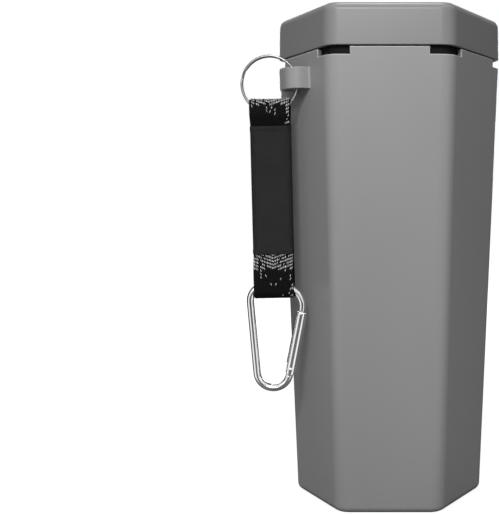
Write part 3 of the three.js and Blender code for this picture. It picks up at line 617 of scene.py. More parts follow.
def paint_rim_highlight(cup, out, low, high):
    """Boosts the edge mark on the rim's and notches' edges, outside the given distance, so that they are
    painted brighter than the others, as a painted highlight.
    """
    points = points_of(cup)
    edge = np.empty(len(points), np.float32)
    mark = cup.data.attributes["edge"].data
    mark.foreach_get("value", edge)
    on_rim = (points[:, 2] > low) & (points[:, 2] < high) & (flat_distance(points) > out)
    mark.foreach_set("value", np.where(on_rim, edge * RIM_HIGHLIGHT, edge).astype(np.float32))


def paint_neck_shade(cup, form, floor, material):
    """Gives the neck's outer face, above the floor height, the dark material: painted shade for the shadow in
    the finger notches and under the lid's edge.
    """
    points = points_of(cup)
    out = flat_distance(points)
    fits = (out > form.neck - 1.1 * MM) & (out < form.neck + 0.3 * MM) & (points[:, 2] > floor - 0.3 * MM)
    cup.data.materials.append(material)
    for face in cup.data.polygons:
        if abs(face.normal.z) < 0.3 and all(fits[i] for i in face.vertices):
            face.material_index = 1


def flat_distance(points):
    """How far out points lie, measured square to the nearest flat of the hexagon."""
    turns = (np.arange(SIDES) + 0.5) * TURN / SIDES
    return np.max(points[..., :2] @ np.stack([np.cos(turns), np.sin(turns)]), axis=-1)


class WASHER_OT_lid(Operator):
    """Build the lid, its plug and its seal"""

    bl_idname = "washer.lid"
    bl_label = "Lid"

    def execute(self, context):
        sizes, cup = context.scene.washer_lid, context.scene.washer_cup
        form = CupForm(cup)
        low, top = cup.height + sizes.joint, cup.height + sizes.height
        corner = cup.corner_radius
        inner = form.rim - sizes.wall
        ceiling = top - sizes.roof
        face = sizes.top_side * FLAT
        mould("lid", [
            (inner - 4 * MM, ceiling, corner, 0),
            (inner, ceiling, corner - sizes.wall, MM),
            (inner, low, corner - sizes.wall, sizes.edge_round),
            (form.rim, low, corner, sizes.edge_round),
            (face, top, corner, sizes.top_round),
            (face - 6 * MM, top, corner, 0),
        ], "lid", lid_plastic(context), "cup_plastic", "lid_shell")

        plug_low = form.neck_top - sizes.plug_depth
        plug_top = ceiling - sizes.gap
        plug = form.inside(plug_low) - sizes.plug_clearance
        radius = form.well_radius - sizes.plug_clearance / 2
        groove, heart = plug_low + sizes.groove_rise, plug - sizes.groove_depth
        groove_top = groove + sizes.groove_height
        dish, dish_top = plug - sizes.plug_wall, plug_top - sizes.plug_roof
        dish_radius, edge = radius - sizes.plug_wall / 2, 0.3 * MM
        mould("lid_stopper", [
            (plug - 5 * MM, plug_top, radius, 0), (plug, plug_top, radius, edge),
            (plug, groove_top, radius, edge), (heart, groove_top, radius, 0),
            (heart, groove, radius, 0), (plug, groove, radius, edge), (plug, plug_low, radius, edge),
            (dish, plug_low, dish_radius, edge), (dish, dish_top, dish_radius, MM),
            (dish - 3 * MM, dish_top, radius, 0),
        ], "lid", inner_plastic(context), "insert_plastic", "lid_plug")

        seal_low, seal_high = groove + sizes.gap, groove_top - sizes.gap
        outer, inner = form.inside(seal_low) - sizes.gap, heart + sizes.gap
        lip = (seal_high - seal_low) / 2 * 0.95
        mould("lid_ring_seal", [
            (inner, seal_low, radius, 0.2 * MM), (outer, seal_low, radius, lip),
            (outer, seal_high, radius, lip), (inner, seal_high, radius, 0.2 * MM),
        ], "lid", seal_rubber(context), "seal_rubber", "lid_seal", closed=True, marked=False)
        return {"FINISHED"}


# Repeats made with Geometry Nodes

def add(tree, kind, inputs=None, **settings):
    """Adds a node, sets it, and gives each named input a value or a link."""
    node = tree.nodes.new(kind)
    for key, value in settings.items():
        setattr(node, key, value)
    for key, value in (inputs or {}).items():
        socket = node.inputs[key]
        if isinstance(value, bpy.types.NodeSocket):
            tree.links.new(value, socket)
        else:
            socket.default_value = value
    return node


def first(tree, kind, inputs=None, **settings):
    """Adds a node and returns its first output."""
    return add(tree, kind, inputs, **settings).outputs[0]


def math_node(tree, operation, a, b):
    return first(tree, "ShaderNodeMath", {0: a, 1: b}, operation=operation)


def vector(tree, x, y, z):
    return first(tree, "ShaderNodeCombineXYZ", {"X": x, "Y": y, "Z": z})


def node_tree(name, whole, real):
    """An empty geometry tree with named whole and real inputs. Returns the tree and its inputs' sockets."""
    tree = bpy.data.node_groups.new(name, "GeometryNodeTree")
    tree.interface.new_socket("Geometry", in_out="OUTPUT", socket_type="NodeSocketGeometry")
    for kind, labels in (("NodeSocketInt", whole), ("NodeSocketFloat", real)):
        for label in labels:
            tree.interface.new_socket(label, in_out="INPUT", socket_type=kind)
    return tree, tree.nodes.new("NodeGroupInput").outputs


def end_tree(tree, instances, material):
    real = first(tree, "GeometryNodeRealizeInstances", {"Geometry": instances})
    coloured = first(tree, "GeometryNodeSetMaterial", {"Geometry": real, "Material": material})
    add(tree, "NodeGroupOutput", {0: coloured})
    return tree


def grow(name, tree, values):
    """Runs a tree with its inputs set by socket identifier, and returns the result as a plain mesh."""
    piece = link(name, bpy.data.meshes.new(name))
    modifier = piece.modifiers.new(name, "NODES")
    modifier.node_group = tree
    for item in tree.interface.items_tree:
        if item.item_type == "SOCKET" and item.in_out == "INPUT":
            modifier[item.identifier] = values[item.name]
    bake_modifiers(piece)
    return piece


def grid(tree, given, width, height):
    return first(tree, "GeometryNodeMeshGrid", {
        "Size X": width, "Size Y": height, "Vertices X": given["Columns"], "Vertices Y": given["Rows"],
    })


def tuft_tree(material):
    """A flat field of bristle tufts: columns across X, rows up Y, bristles along Z, each leaning a little."""
    tree, given = node_tree("Bristle tufts", ("Columns", "Rows", "Seed"), (
        "Width", "Height", "Tuft Radius", "Bristle Radius", "Bristle Length", "Splay",
    ))
    field = grid(tree, given, given["Width"], given["Height"])
    bristle = first(tree, "GeometryNodeMeshCone", {
        "Vertices": 4, "Radius Top": math_node(tree, "MULTIPLY", given["Bristle Radius"], TIP_SHARE),
        "Radius Bottom": given["Bristle Radius"], "Depth": given["Bristle Length"],
    }, fill_type="NGON")
    places = add(tree, "GeometryNodeJoinGeometry")
    for number, radius in (
        (7, given["Tuft Radius"]), (4, math_node(tree, "MULTIPLY", given["Tuft Radius"], 0.45)),
    ):
        round_spots = first(tree, "GeometryNodeMeshCircle", {"Vertices": number, "Radius": radius})
        tree.links.new(round_spots, places.inputs[0])
    spots = first(tree, "GeometryNodeInstanceOnPoints", {"Points": field, "Instance": places.outputs[0]})
    spots = first(tree, "GeometryNodeRealizeInstances", {"Geometry": spots})
    least = math_node(tree, "MULTIPLY", given["Splay"], -1.0)
    lean = first(tree, "FunctionNodeRandomValue", {
        0: vector(tree, least, least, 0.0), 1: vector(tree, given["Splay"], given["Splay"], TURN),
        "Seed": given["Seed"],
    }, data_type="FLOAT_VECTOR")
    tall = add(tree, "FunctionNodeRandomValue", {
        2: SHORTEST_SHARE, 3: 1.0, "Seed": math_node(tree, "ADD", given["Seed"], 7),
    }, data_type="FLOAT").outputs[1]
    bristles = first(tree, "GeometryNodeInstanceOnPoints", {
        "Points": spots, "Instance": bristle, "Rotation": lean, "Scale": vector(tree, 1.0, 1.0, tall),
    })
    return end_tree(tree, bristles, material)


def pill_tree(material):
    """Rows and columns of pills, each lying along Y, for raised threads and for stitches."""
    tree, given = node_tree("Thread pills", ("Columns", "Rows"), (
        "Column Pitch", "Row Pitch", "Step", "Half Width", "Half Length", "Half Height", "Turn",
    ))
    width, height = (
        math_node(tree, "MULTIPLY", given[pitch], math_node(tree, "SUBTRACT", given[number], 1))
        for pitch, number in (("Column Pitch", "Columns"), ("Row Pitch", "Rows"))
    )
    place = first(tree, "ShaderNodeSeparateXYZ", {0: first(tree, "GeometryNodeInputPosition")})
    column = math_node(tree, "DIVIDE", math_node(tree, "ABSOLUTE", place, 0.0), given["Column Pitch"])
    shift = math_node(tree, "MODULO", math_node(tree, "MULTIPLY", column, given["Step"]), given["Row Pitch"])
    moved = first(tree, "GeometryNodeSetPosition", {
        "Geometry": grid(tree, given, width, height), "Offset": vector(tree, 0.0, shift, 0.0),
    })
    pill = first(tree, "GeometryNodeMeshUVSphere", {"Segments": 8, "Rings": 6, "Radius": 1.0})
    on_side = first(tree, "GeometryNodeTransform", {"Geometry": pill, "Rotation": (math.pi / 2, 0.0, 0.0)})
    size = vector(tree, given["Half Width"], given["Half Length"], given["Half Height"])
    shaped = first(tree, "GeometryNodeTransform", {"Geometry": on_side, "Scale": size})
    turn = math_node(tree, "MULTIPLY", math_node(tree, "SIGN", place, 0.0), given["Turn"])
    pills = first(tree, "GeometryNodeInstanceOnPoints", {
        "Points": moved, "Instance": shaped, "Rotation": vector(tree, 0.0, 0.0, turn),
    })
    return end_tree(tree, pills, material)


class BrushForm:
    """The brush set's heights, worked out from its sizes and the cup's."""

    def __init__(self, sizes, cup):
        self.cup = CupForm(cup)
        self.base_low = cup.floor + sizes.gap
        self.base_high = self.base_low + sizes.base_thickness
        self.ring_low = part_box("insert_ring")[0].z
        self.ring_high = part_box("insert_ring")[1].z
        self.panel_low = self.base_high + sizes.gap
        self.panel_high = self.ring_low - sizes.gap


def turned_rows(rows, facet):
    """Turns points about the cup's axis from the front facet to another."""
    c, s = math.cos(facet * TURN / SIDES), math.sin(facet * TURN / SIDES)
    rows = np.asarray(rows, float)
    x, y = rows[..., 0] * c - rows[..., 1] * s, rows[..., 0] * s + rows[..., 1] * c
    return np.stack([x, y, rows[..., 2]], axis=-1)


class WASHER_OT_insert(Operator):
    """Build the brush set's base plate, top ring and six panels"""

    bl_idname = "washer.insert"
    bl_label = "Brush frame"

    def execute(self, context):
        sizes, cup = context.scene.washer_brushes, context.scene.washer_cup
        form = BrushForm(sizes, cup)
        plastic_used, slot = inner_plastic(context), "insert_plastic"
        edge, margin = 0.35 * MM, 8 * MM
        radius = form.cup.well_radius
        side = form.cup.inside(form.base_low) - sizes.clearance
        plate = hex_moulding("brush_base_plate", [
            (side - margin, form.base_low, radius, 0), (side, form.base_low, radius, edge),
            (side, form.base_high, radius, edge), (side - margin, form.base_high, radius, 0),
        ])
        for x, y in circle(sizes.hole_circle, SIDES):
            hole = circle(sizes.hole_radius, 32, x, y)
            ends = (form.base_low - MM, form.base_high + MM)
            combine(plate, skin("drill", [[(*pair, z) for pair in hole] for z in ends]))
        finish_piece(smooth(plate), "cup", plastic_used, slot, "insert_base")

        outer = form.cup.inside(form.ring_low) - sizes.clearance
        inner = outer - sizes.ring_width
        mould("brush_top_ring", [
            (inner, form.ring_low, radius, edge), (outer, form.ring_low, radius, edge),
            (outer, form.ring_high, radius, edge), (inner, form.ring_high, radius, 2 * MM),
        ], "cup", plastic_used, slot, "insert_ring", closed=True)

        for facet in range(SIDES):
            panel = skin(f"brush_board_{facet + 1}", turned_rows(self.panel_rows(sizes, form), facet))
            round_edges(panel, 0.3 * MM)
            finish_piece(smooth(panel), "cup", plastic_used, slot, f"brush_panel_{facet + 1}")

        low, thick = form.base_high + sizes.gap, sizes.floor_plate
        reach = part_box("floor_brush_plate")[1].x
        profile = (
            (0, reach - 3 * MM), (0, reach - edge), (edge, reach),
            (thick - edge, reach), (thick, reach - edge), (thick, reach - 3 * MM),
        )
        disc = skin("floor_brush_disc", [[(*pair, low + z) for pair in circle(r, 64)] for z, r in profile])
        finish_piece(smooth(disc), "cup", plastic_used, slot, "floor_brush_plate")
        return {"FINISHED"}

    def panel_rows(self, sizes, form):
        rows = []
        for z in (form.panel_low, form.panel_high):
            back = form.cup.inside(z) - sizes.clearance
            front = back - sizes.panel_thickness
            half = front / FLAT / 2 - sizes.panel_edge
            rows.append([(-half, -back, z), (half, -back, z), (half, -front, z), (-half, -front, z)])
        return rows


class WASHER_OT_bristles(Operator):
    """Grow the wall bristles and the floor brush's bristles"""

    bl_idname = "washer.bristles"
    bl_label = "Bristles"

    def execute(self, context):
        sizes, cup = context.scene.washer_brushes, context.scene.washer_cup
        form = BrushForm(sizes, cup)
        nylon = bristle_nylon(context)
        tree = tuft_tree(nylon)
        shape = {"Tuft Radius": sizes.tuft_radius, "Bristle Radius": sizes.bristle_radius, "Splay": SPLAY}
        low, high = form.panel_low + sizes.bristle_end, form.panel_high - sizes.bristle_end
        for facet in range(SIDES):
            field = grow(f"bristles_{facet + 1}", tree, {
                "Columns": sizes.tuft_columns, "Rows": sizes.tuft_rows, "Width": 1.0, "Height": high - low,
                "Bristle Length": sizes.bristle_length, "Seed": 11 + facet, **shape,
            })
            set_points(field, turned_rows(self.on_wall(points_of(field), sizes, form, low, high), facet))
            finish_piece(field, "cup", nylon, "bristle_nylon", f"wall_bristles_{facet + 1}")

        across = 11
        spread = 2 * (sizes.floor_radius - sizes.tuft_radius)
        field = grow("floor_bristle_tufts", tree, {
            "Columns": across, "Rows": across, "Width": spread, "Height": spread,
            "Bristle Length": sizes.floor_length, "Seed": 31, **shape,
        })
        self.trim_round(field, sizes.floor_radius)
        points = points_of(field)
        far = np.clip(np.hypot(points[:, 0], points[:, 1]) / sizes.floor_radius, 0, 1)
        rise = np.clip(points[:, 2], 0, sizes.floor_length) / sizes.floor_length
        foot = form.base_high + sizes.gap + sizes.floor_plate + sizes.gap
        points[:, 2] = foot + rise * (sizes.floor_length - sizes.floor_crown * far**2)
        set_points(field, points)
        finish_piece(field, "cup", nylon, "bristle_nylon", "floor_bristles")
        return {"FINISHED"}

    def on_wall(self, points, sizes, form, low, high):
        """Lays the flat field on the front wall. Its columns spread over the panel and close up at the tips."""
        z = points[:, 1] + (low + high) / 2
        rise = np.clip(points[:, 2] / sizes.bristle_length, 0, 1)
        foot = form.cup.inside(z) - sizes.clearance - sizes.panel_thickness - sizes.gap
        half_foot = foot / FLAT / 2 - sizes.bristle_edge - 2 * sizes.tuft_radius
        half_tip = half_foot - sizes.tip_draw - sizes.bristle_length / FLAT / 2 + sizes.tuft_radius
        last = sizes.tuft_columns - 1
        middle = np.clip(np.round((points[:, 0] + 0.5) * last), 0, last) / last - 0.5
        reach = half_foot + (half_tip - half_foot) * rise
        x = 2 * middle * reach + (points[:, 0] - middle) * (1 - 0.35 * rise)
        return np.stack([x, -(foot - rise * sizes.bristle_length), np.clip(z, low, high)], axis=-1)

    def trim_round(self, field, radius):
        """Drops the whole bristles that stand outside the round."""
        x, y, _ = points_of(field).T
        outside = (np.hypot(x, y) > radius).reshape(-1, BRISTLE_POINTS).any(axis=1)
        shape = bmesh.new()
        shape.from_mesh(field.data)
        dropped = [v for v in shape.verts if outside[v.index // BRISTLE_POINTS]]
        bmesh.ops.delete(shape, geom=dropped, context="VERTS")
        shape.to_mesh(field.data)
        shape.free()


class WASHER_OT_split_ring(Operator):
    """Wind the split ring as one wire of two coils that cross over once"""

    bl_idname = "washer.split_ring"
    bl_label = "Split ring"

    def execute(self, context):
        sizes = context.scene.washer_ring
        low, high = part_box("split_ring")
        middle = (low + high) / 2
        mean = (high.z - low.z) / 2 - sizes.wire_radial / 2
        steps = 220
        whole = 2 * TURN - sizes.crossing_width
        start = sizes.crossing_at + sizes.crossing_width / 2
        half_axial = sizes.wire_axial / 2
        section = rounded_box(sizes.wire_radial / 2, -half_axial, half_axial, sizes.wire_round, 4)
        rows = []
        for step in range(steps + 1):
            turned = whole * step / steps
            crossed = np.clip((turned - (TURN - sizes.crossing_width)) / sizes.crossing_width, 0, 1)
            side = (crossed * crossed * (3 - 2 * crossed) - 0.5) * sizes.coil_pitch
            scale = 1 - 0.25 * max(0, 1 - min(step, steps - step) / 2) ** 2
            c, s = math.cos(start + turned), math.sin(start + turned)
            rows.append([
                (middle.x + (mean + r * scale) * c, middle.y + side + w * scale,
                 middle.z + (mean + r * scale) * s)
                for r, w in section
            ])
        ring = smooth(skin("ring_coils", rows))
        finish_piece(ring, "ring", ring_steel(context), "bright_steel", "split_ring")
        return {"FINISHED"}


# The strap

def bent_line(corners, steps=10):
    """Points along a flat line whose corners, each (x, z, radius), are rounded."""
    points = []
    for i, (x, z, radius) in enumerate(corners):
        if radius > 0:
            centre, arc = corner_arc(corners[i - 1][:2], (x, z), corners[i + 1][:2], radius, steps)
            points += [centre + Vector(pair) for pair in arc]
        else:
            points.append(Vector((x, z)))
    return np.array([tuple(point) for point in points])


def evenly(line, spacing):
    """The same line with points at even distances."""
    keep = np.r_[True, np.linalg.norm(np.diff(line, axis=0), axis=1) > 1e-9]
    line = line[keep]
    run = np.r_[0, np.cumsum(np.linalg.norm(np.diff(line, axis=0), axis=1))]
    number = max(int(round(run[-1] / spacing)), 2)
    at = np.linspace(0, run[-1], number + 1)
    return np.stack([np.interp(at, run, line[:, k]) for k in (0, 1)], axis=-1), at


class StrapForm:
    """Where the webbing runs: a band that starts and ends inside the sleeve and goes round both loops."""

    def __init__(self, sizes):
        self.sizes = sizes
        low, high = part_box("webbing_strap")
        ring_low, ring_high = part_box("split_ring")
        self.hang = (ring_low + ring_high) / 2
        self.top = high.z - sizes.top_fold_drop
        self.foot = low.z + sizes.low_fold_rise
        sleeve_low, sleeve_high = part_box("strap_sleeve")
        self.sleeve_low, self.sleeve_high = sleeve_low.z + 0.15 * MM, sleeve_high.z - 0.15 * MM
        self.slope = math.tan(sizes.lean)
        radius, layer = sizes.loop_radius, sizes.layer_depth
        seam = (self.sleeve_low + self.sleeve_high) / 2
        top_neck, low_neck = self.sleeve_high - 0.5 * MM, self.sleeve_low + 0.3 * MM
        top_out, low_out = self.top - sizes.top_shoulder, self.foot + sizes.low_shoulder
        corners = [
            (-layer, seam, 0), (-layer, top_neck, 4 * MM), (-radius, top_out, 3 * MM),
            (-radius, self.top, radius * 0.999), (radius, self.top, radius * 0.999),
            (radius, top_out, 3 * MM), (layer, top_neck, 4 * MM),
            (layer, low_neck, 4 * MM), (radius, low_out, 4 * MM),
            (radius, self.foot, radius * 0.999), (-radius, self.foot, radius * 0.999),
            (-radius, low_out, 4 * MM), (-layer, low_neck, 4 * MM), (-layer, seam - 0.05 * MM, 0),
        ]
        self.line, self.at = evenly(bent_line(corners), 0.5 * MM)
        along = np.gradient(self.line, self.at, axis=0)
        along /= np.linalg.norm(along, axis=1)[:, None]
        self.out = np.stack([-along[:, 1], along[:, 0]], axis=-1)

    def place(self, across, along, off):
        """World points for places on the band: across its width, along its line and off its middle."""
        curves = (self.line[:, 0], self.line[:, 1], self.out[:, 0], self.out[:, 1])
        depth, height, out_d, out_h = (np.interp(along, self.at, curve) for curve in curves)
        half = self.sizes.width / 2
        in_fold = np.clip((height - (self.top - self.sizes.top_shoulder)) / self.sizes.top_shoulder, 0, 1) ** 2
        sag = self.sizes.fold_sag * in_fold * (1 - np.clip(across / half, -1, 1) ** 2)
        return self.hung(across, depth + out_d * off, height + out_h * off - sag)

    def hung(self, across, depth, height):
        """World points from places in the leaning strap's own frame."""
        lean = self.sizes.lean
        x = self.hang.x + (self.top - height) * self.slope + across * math.cos(lean)
        return np.stack([x, self.hang.y + depth, height + across * math.sin(lean)], axis=-1)

    def exposed(self):
        """The stretches of the band outside the sleeve: round the top loop and round the low one."""
        inside = (self.line[:, 1] < self.sleeve_high) & (self.line[:, 1] > self.sleeve_low)
        shown = self.at[~inside]
        jump = np.argmax(np.diff(shown))
        return [(shown[0], shown[jump]), (shown[jump + 1], shown[-1])]


def band_section(width, thickness, columns=24, edge_steps=3):
    """The webbing's cross-section as (across, off)."""
    half_w, half_t = width / 2, thickness / 2
    points = [(x, half_t) for x in np.linspace(-half_w + half_t, half_w - half_t, columns + 1)]
    points += [
        (half_w - half_t + half_t * math.sin(t), half_t * math.cos(t))
        for t in (math.pi * k / (edge_steps + 1) for k in range(1, edge_steps + 1))
    ]
    points += [(-x, -y) for x, y in points]
    return np.array(points)


class WASHER_OT_strap(Operator):
    """Fold the webbing strap round the ring and the carabiner, with its raised threads"""

    bl_idname = "washer.strap"
    bl_label = "Webbing strap"

    def execute(self, context):
        sizes = context.scene.washer_strap
        form = StrapForm(sizes)
        section = band_section(sizes.width, sizes.thickness)
        across = np.tile(section[:, 0], (len(form.at), 1))
        off = np.tile(section[:, 1], (len(form.at), 1))
        along = np.repeat(form.at[:, None], len(section), axis=1)
        band = skin("webbing_band", form.place(across, along, off))
        smooth(band, weighted=False)
        lay_coordinates(band, form)
        finish_piece(band, "strap", webbing_cloth(context), "black_webbing", "webbing_strap")

        thread = webbing_thread(context)
        tree = pill_tree(thread)
        columns = int(sizes.width / sizes.thread_pitch)
        for name, (start, end) in zip(("top", "low"), form.exposed()):
            rows = int((end - start) / sizes.float_pitch) + 1
            field = grow(f"webbing_threads_{name}", tree, {
                "Columns": columns, "Rows": rows, "Column Pitch": sizes.thread_pitch,
                "Row Pitch": sizes.float_pitch, "Step": sizes.float_step,
                "Half Width": sizes.thread_pitch * 0.27, "Half Length": sizes.float_length / 2,
                "Half Height": sizes.float_height, "Turn": -sizes.thread_turn,
            })
            flat = points_of(field)
            at = flat[:, 1] + (start + end) / 2
            off = sizes.thickness / 2 + flat[:, 2]
            set_points(field, form.place(flat[:, 0], at, off))
            # Painted glints on the threads where the webbing faces up to the light
            paint_thread_glints(field, form, flat[:, 0], at, 5 + rows)
            smooth(field, weighted=False)
            finish_piece(field, "strap", thread, "black_webbing")
        return {"FINISHED"}


def paint_thread_glints(field, form, across, at, seed):
    """Stores worn on each thread, a painted glint where the webbing faces up to the light: likely at the top
    fold and where the low loop flares out.
    """
    across, at = (v.reshape(-1, PILL_POINTS).mean(axis=1) for v in (across, at))
    height = np.interp(at, form.at, form.line[:, 1])
    edge = np.abs(across) / (form.sizes.width / 2)
    fold = np.clip((height - form.top + 3.2 * MM) / MM, 0, 1)
    scattered = 0.16 * (across > 0) * (height > form.top - 7.5 * MM)
    flare_low = form.foot + form.sizes.low_shoulder
    flare = np.clip((height - flare_low - 0.3 * MM) / MM, 0, 1) * (height < form.sleeve_low + 2 * MM)
    chance = 0.82 * np.maximum(fold, flare) + scattered + 0.02 + 0.4 * (edge > 0.8) * (across > 0)
    random = np.random.default_rng(seed)
    worn = (random.random(len(at)) < chance) * random.uniform(0.6, 1, len(at))
    store(field, "worn", np.repeat(worn, PILL_POINTS))


def lay_coordinates(piece, form):
    """Stores lay, where each point lies on the strap, across and along, for the weave."""
    points = points_of(piece)
    across = points[:, 0] - form.hang.x - (form.top - points[:, 2]) * form.slope
    store(piece, "lay", np.stack([across, points[:, 2], points[:, 1] - form.hang.y], axis=-1))


class WASHER_OT_sleeve(Operator):
    """Sew the smooth sleeve round the middle of the strap, with its stitches"""

    bl_idname = "washer.sleeve"
    bl_label = "Sleeve"

    def execute(self, context):
        sizes = context.scene.washer_strap
        form = StrapForm(sizes)
        low, high = form.sleeve_low, form.sleeve_high
        hem, wall = sizes.hem_height, sizes.sleeve_wall
        heights = np.r_[
            low, low + 0.12 * MM, low + 0.35 * MM, np.linspace(low + 0.7 * MM, low + hem, 4),
            low + hem + 0.25 * MM, np.linspace(low + hem + 0.8 * MM, high - hem - 0.8 * MM, 60),
            high - hem - 0.25 * MM, np.linspace(high - hem, high - 0.7 * MM, 4),
            high - 0.35 * MM, high - 0.12 * MM, high,
        ]
        outer, inner = [], []
        for h in heights:
            end = min(h - low, high - h)
            lip = 0.28 * MM * (1 - math.sqrt(max(0, 1 - (1 - min(end / (0.45 * MM), 1)) ** 2)))
            hemmed = 0.2 * MM * (1 - np.clip((end - hem) / (0.3 * MM), 0, 1))
            outer.append(self.sleeve_ring(sizes, form, h, hemmed - lip))
            inner.append(self.sleeve_ring(sizes, form, h, -wall))
        sleeve = skin("sleeve_cover", outer + inner[::-1], cyclic=True)
        smooth(sleeve, weighted=False)
        lay_coordinates(sleeve, form)
        finish_piece(sleeve, "strap", sleeve_cloth(context), "sleeve_fabric", "strap_sleeve")
        self.sew(context, sizes, form)
        return {"FINISHED"}

    def sleeve_ring(self, sizes, form, height, grown):
        """One flat oval round the strap at a height. Its faces swell and ripple a little, as cloth does."""
        half_w, half_d = sizes.sleeve_half_width + grown * 0.5, sizes.sleeve_half_depth + grown
        edge = half_d * 0.98
        ring = []
        for side in (-1, 1):
            for x in np.linspace(-half_w + edge, half_w - edge, 26):
                ring.append((-side * x, side * half_d))
            for k in range(1, 9):
                t = k * math.pi / 9
                ring.append((-side * (half_w - edge + edge * math.sin(t)), side * half_d * math.cos(t)))
        ring = np.array(ring)
        wave = 0.05 * MM * np.sin(height / (5.3 * MM) + ring[:, 0] / (6.1 * MM))
        wave += 0.04 * MM * np.sin(height / (2.9 * MM) - ring[:, 0] / (3.7 * MM) + 1.7)
        ring[:, 1] += np.sign(ring[:, 1]) * wave * np.clip(1 - np.abs(ring[:, 0]) / half_w, 0, 1)
        return form.hung(ring[:, 0], ring[:, 1], np.full(len(ring), height))

    def sew(self, context, sizes, form):
        """Stitch rows along both long edges and across both hems, on the front and the back."""
        thread = sewing_thread(context)
        tree = pill_tree(thread)
        high, low = form.sleeve_high, form.sleeve_low
        inset = 1.25 * MM
        half = sizes.sleeve_half_width - inset - 0.4 * MM
        runs = [((x, low + inset), (x, high - inset)) for x in (-half, half)]
        runs += [((-half, z), (half, z)) for z in (low + inset, high - inset)]
        made = []
        for face in (-1, 1):
            for (x0, z0), (x1, z1) in runs:
                reach = math.hypot(x1 - x0, z1 - z0)
                row = grow("stitch_row", tree, {
                    "Columns": 1, "Rows": int(reach / sizes.stitch_pitch), "Column Pitch": sizes.stitch_pitch,
                    "Row Pitch": sizes.stitch_pitch, "Step": 0.0, "Half Width": sizes.stitch_radius,
                    "Half Length": sizes.stitch_length / 2, "Half Height": sizes.stitch_radius, "Turn": 0.0,
                })
                flat = points_of(row)
                share_along = flat[:, 1] / reach + 0.5
                side_x, side_z = -(z1 - z0) / reach, (x1 - x0) / reach
                x = x0 + (x1 - x0) * share_along + side_x * flat[:, 0]
                z = z0 + (z1 - z0) * share_along + side_z * flat[:, 0]
                lift = sizes.sleeve_half_depth + 0.5 * sizes.stitch_radius + 0.05 * MM
                hemmed = (np.minimum(z - low, high - z) < sizes.hem_height) * 0.2 * MM
                set_points(row, form.hung(x, face * (lift + hemmed + flat[:, 2]), z))
                made.append(row)
        join_pieces(made, "sleeve_stitches")
        tidy_mesh(made[0].data)
        smooth(made[0], weighted=False)
        finish_piece(made[0], "strap", thread, "sleeve_fabric")


def join_pieces(made, name):
    """Joins plain meshes into the first of them."""
    shape = bmesh.new()
    for piece in made:
        shape.from_mesh(piece.data)
    shape.to_mesh(made[0].data)
    shape.free()
    for piece in made[1:]:
        bpy.data.objects.remove(piece)
    made[0].name = name


# The carabiner

class CarabinerForm:
    """The carabiner's frame at its hinge, and the middle line of its wire."""

    def __init__(self, sizes):
        self.sizes = sizes
        low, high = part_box("gate_hinge_pin")
        self.hinge = (low + high) / 2
        self.sin, self.cos = math.sin(sizes.gate_lean), math.cos(sizes.gate_lean)

    def in_gate(self, x, y, z):
        """World point from one in the gate's frame: z runs up the gate and x across it."""
        return (
            self.hinge.x + x * self.cos + z * self.sin, self.hinge.y + y,
            self.hinge.z - x * self.sin + z * self.cos,
        )

    def gate_rows(self, rows):
        return [[self.in_gate(*p) for p in row] for row in rows]

    def gate_box(self, low, high):
        (x0, y0, z0), (x1, y1, z1) = low, high
        return skin("cutter", self.gate_rows([
            [(x0, y0, z), (x1, y0, z), (x1, y1, z), (x0, y1, z)] for z in (z0, z1)
        ]))

    def wire_line(self):
        sizes = self.sizes
        ends = [self.in_gate(0, 0, z) for z in (
            sizes.wire_radius, sizes.gate_length, sizes.gate_length - sizes.nose_tang)]
        bends = (
            (-1.8, -8.1, sizes.bottom_bend), (-14.1, -8.1, sizes.bottom_bend),
            (-18.1, 38.4, sizes.top_left_bend), (6, 34.4, sizes.top_right_bend),
        )
        corners = [(ends[0][0], ends[0][2], 0)]
        corners += [(self.hinge.x + x * MM, self.hinge.z + z * MM, r) for x, z, r in bends]
        corners += [(ends[1][0], ends[1][2], 0.8 * MM), (ends[2][0], ends[2][2], 0)]
        return evenly(bent_line(corners, 24), 0.5 * MM)


def wire_rows(line, y, radius, sides=28):
    """A round wire along a flat upright line."""
    along = np.gradient(line, axis=0)
    along /= np.linalg.norm(along, axis=1)[:, None]
    section = circle(radius, sides)
    return [
        [(x + tz * across, y + deep, z - tx * across) for across, deep in section]
        for (x, z), (tx, tz) in zip(line, along)
    ]


class WASHER_OT_carabiner(Operator):
    """Bend the carabiner's wire, with a flat tang at the hinge and a notched one at the nose"""

    bl_idname = "washer.carabiner"
    bl_label = "Carabiner"

    def execute(self, context):
        sizes = context.scene.washer_carabiner
        form = CarabinerForm(sizes)
        line, _ = form.wire_line()
        wire = skin("carabiner_wire", wire_rows(line, form.hinge.y, sizes.wire_radius))
        wide, over = 4 * sizes.wire_radius, 3 * MM
        half, top = sizes.tang_half, sizes.gate_length
        for side in (-1, 1):
            low_y, high_y = sorted((side * half, side * (half + over)))
            for low_z, high_z in (
                (-sizes.tang_root, 4 * MM), (top - sizes.nose_tang - over, top + sizes.nose_root),
            ):
                combine(wire, form.gate_box((-wide, low_y, low_z), (wide, high_y, high_z)))
        self.round_tang(wire, form)
        reach = sizes.latch_radius + sizes.clearance
        middle = top - sizes.latch_drop
        combine(wire, form.gate_box(
            (-sizes.wire_radius - over, -over, middle - reach), (reach, over, middle + reach)))
        round_edges(wire, sizes.edge_round)
        smooth(wire)
        finish_piece(wire, "carabiner", bright_steel(context), "bright_steel", "carabiner_body")
        return {"FINISHED"}

    def round_tang(self, wire, form):
        """Rounds the hinge's tang about the rivet."""
        far, steps = 5 * MM, 20
        arc = circle(form.sizes.wire_radius, 2 * steps)[:steps + 1]
        outline = [(far, 0), (far, far), (-far, far), (-far, 0)] + arc[::-1]
        combine(wire, skin("cutter", form.gate_rows([[(x, y, z) for x, z in outline] for y in (-far, far)])))


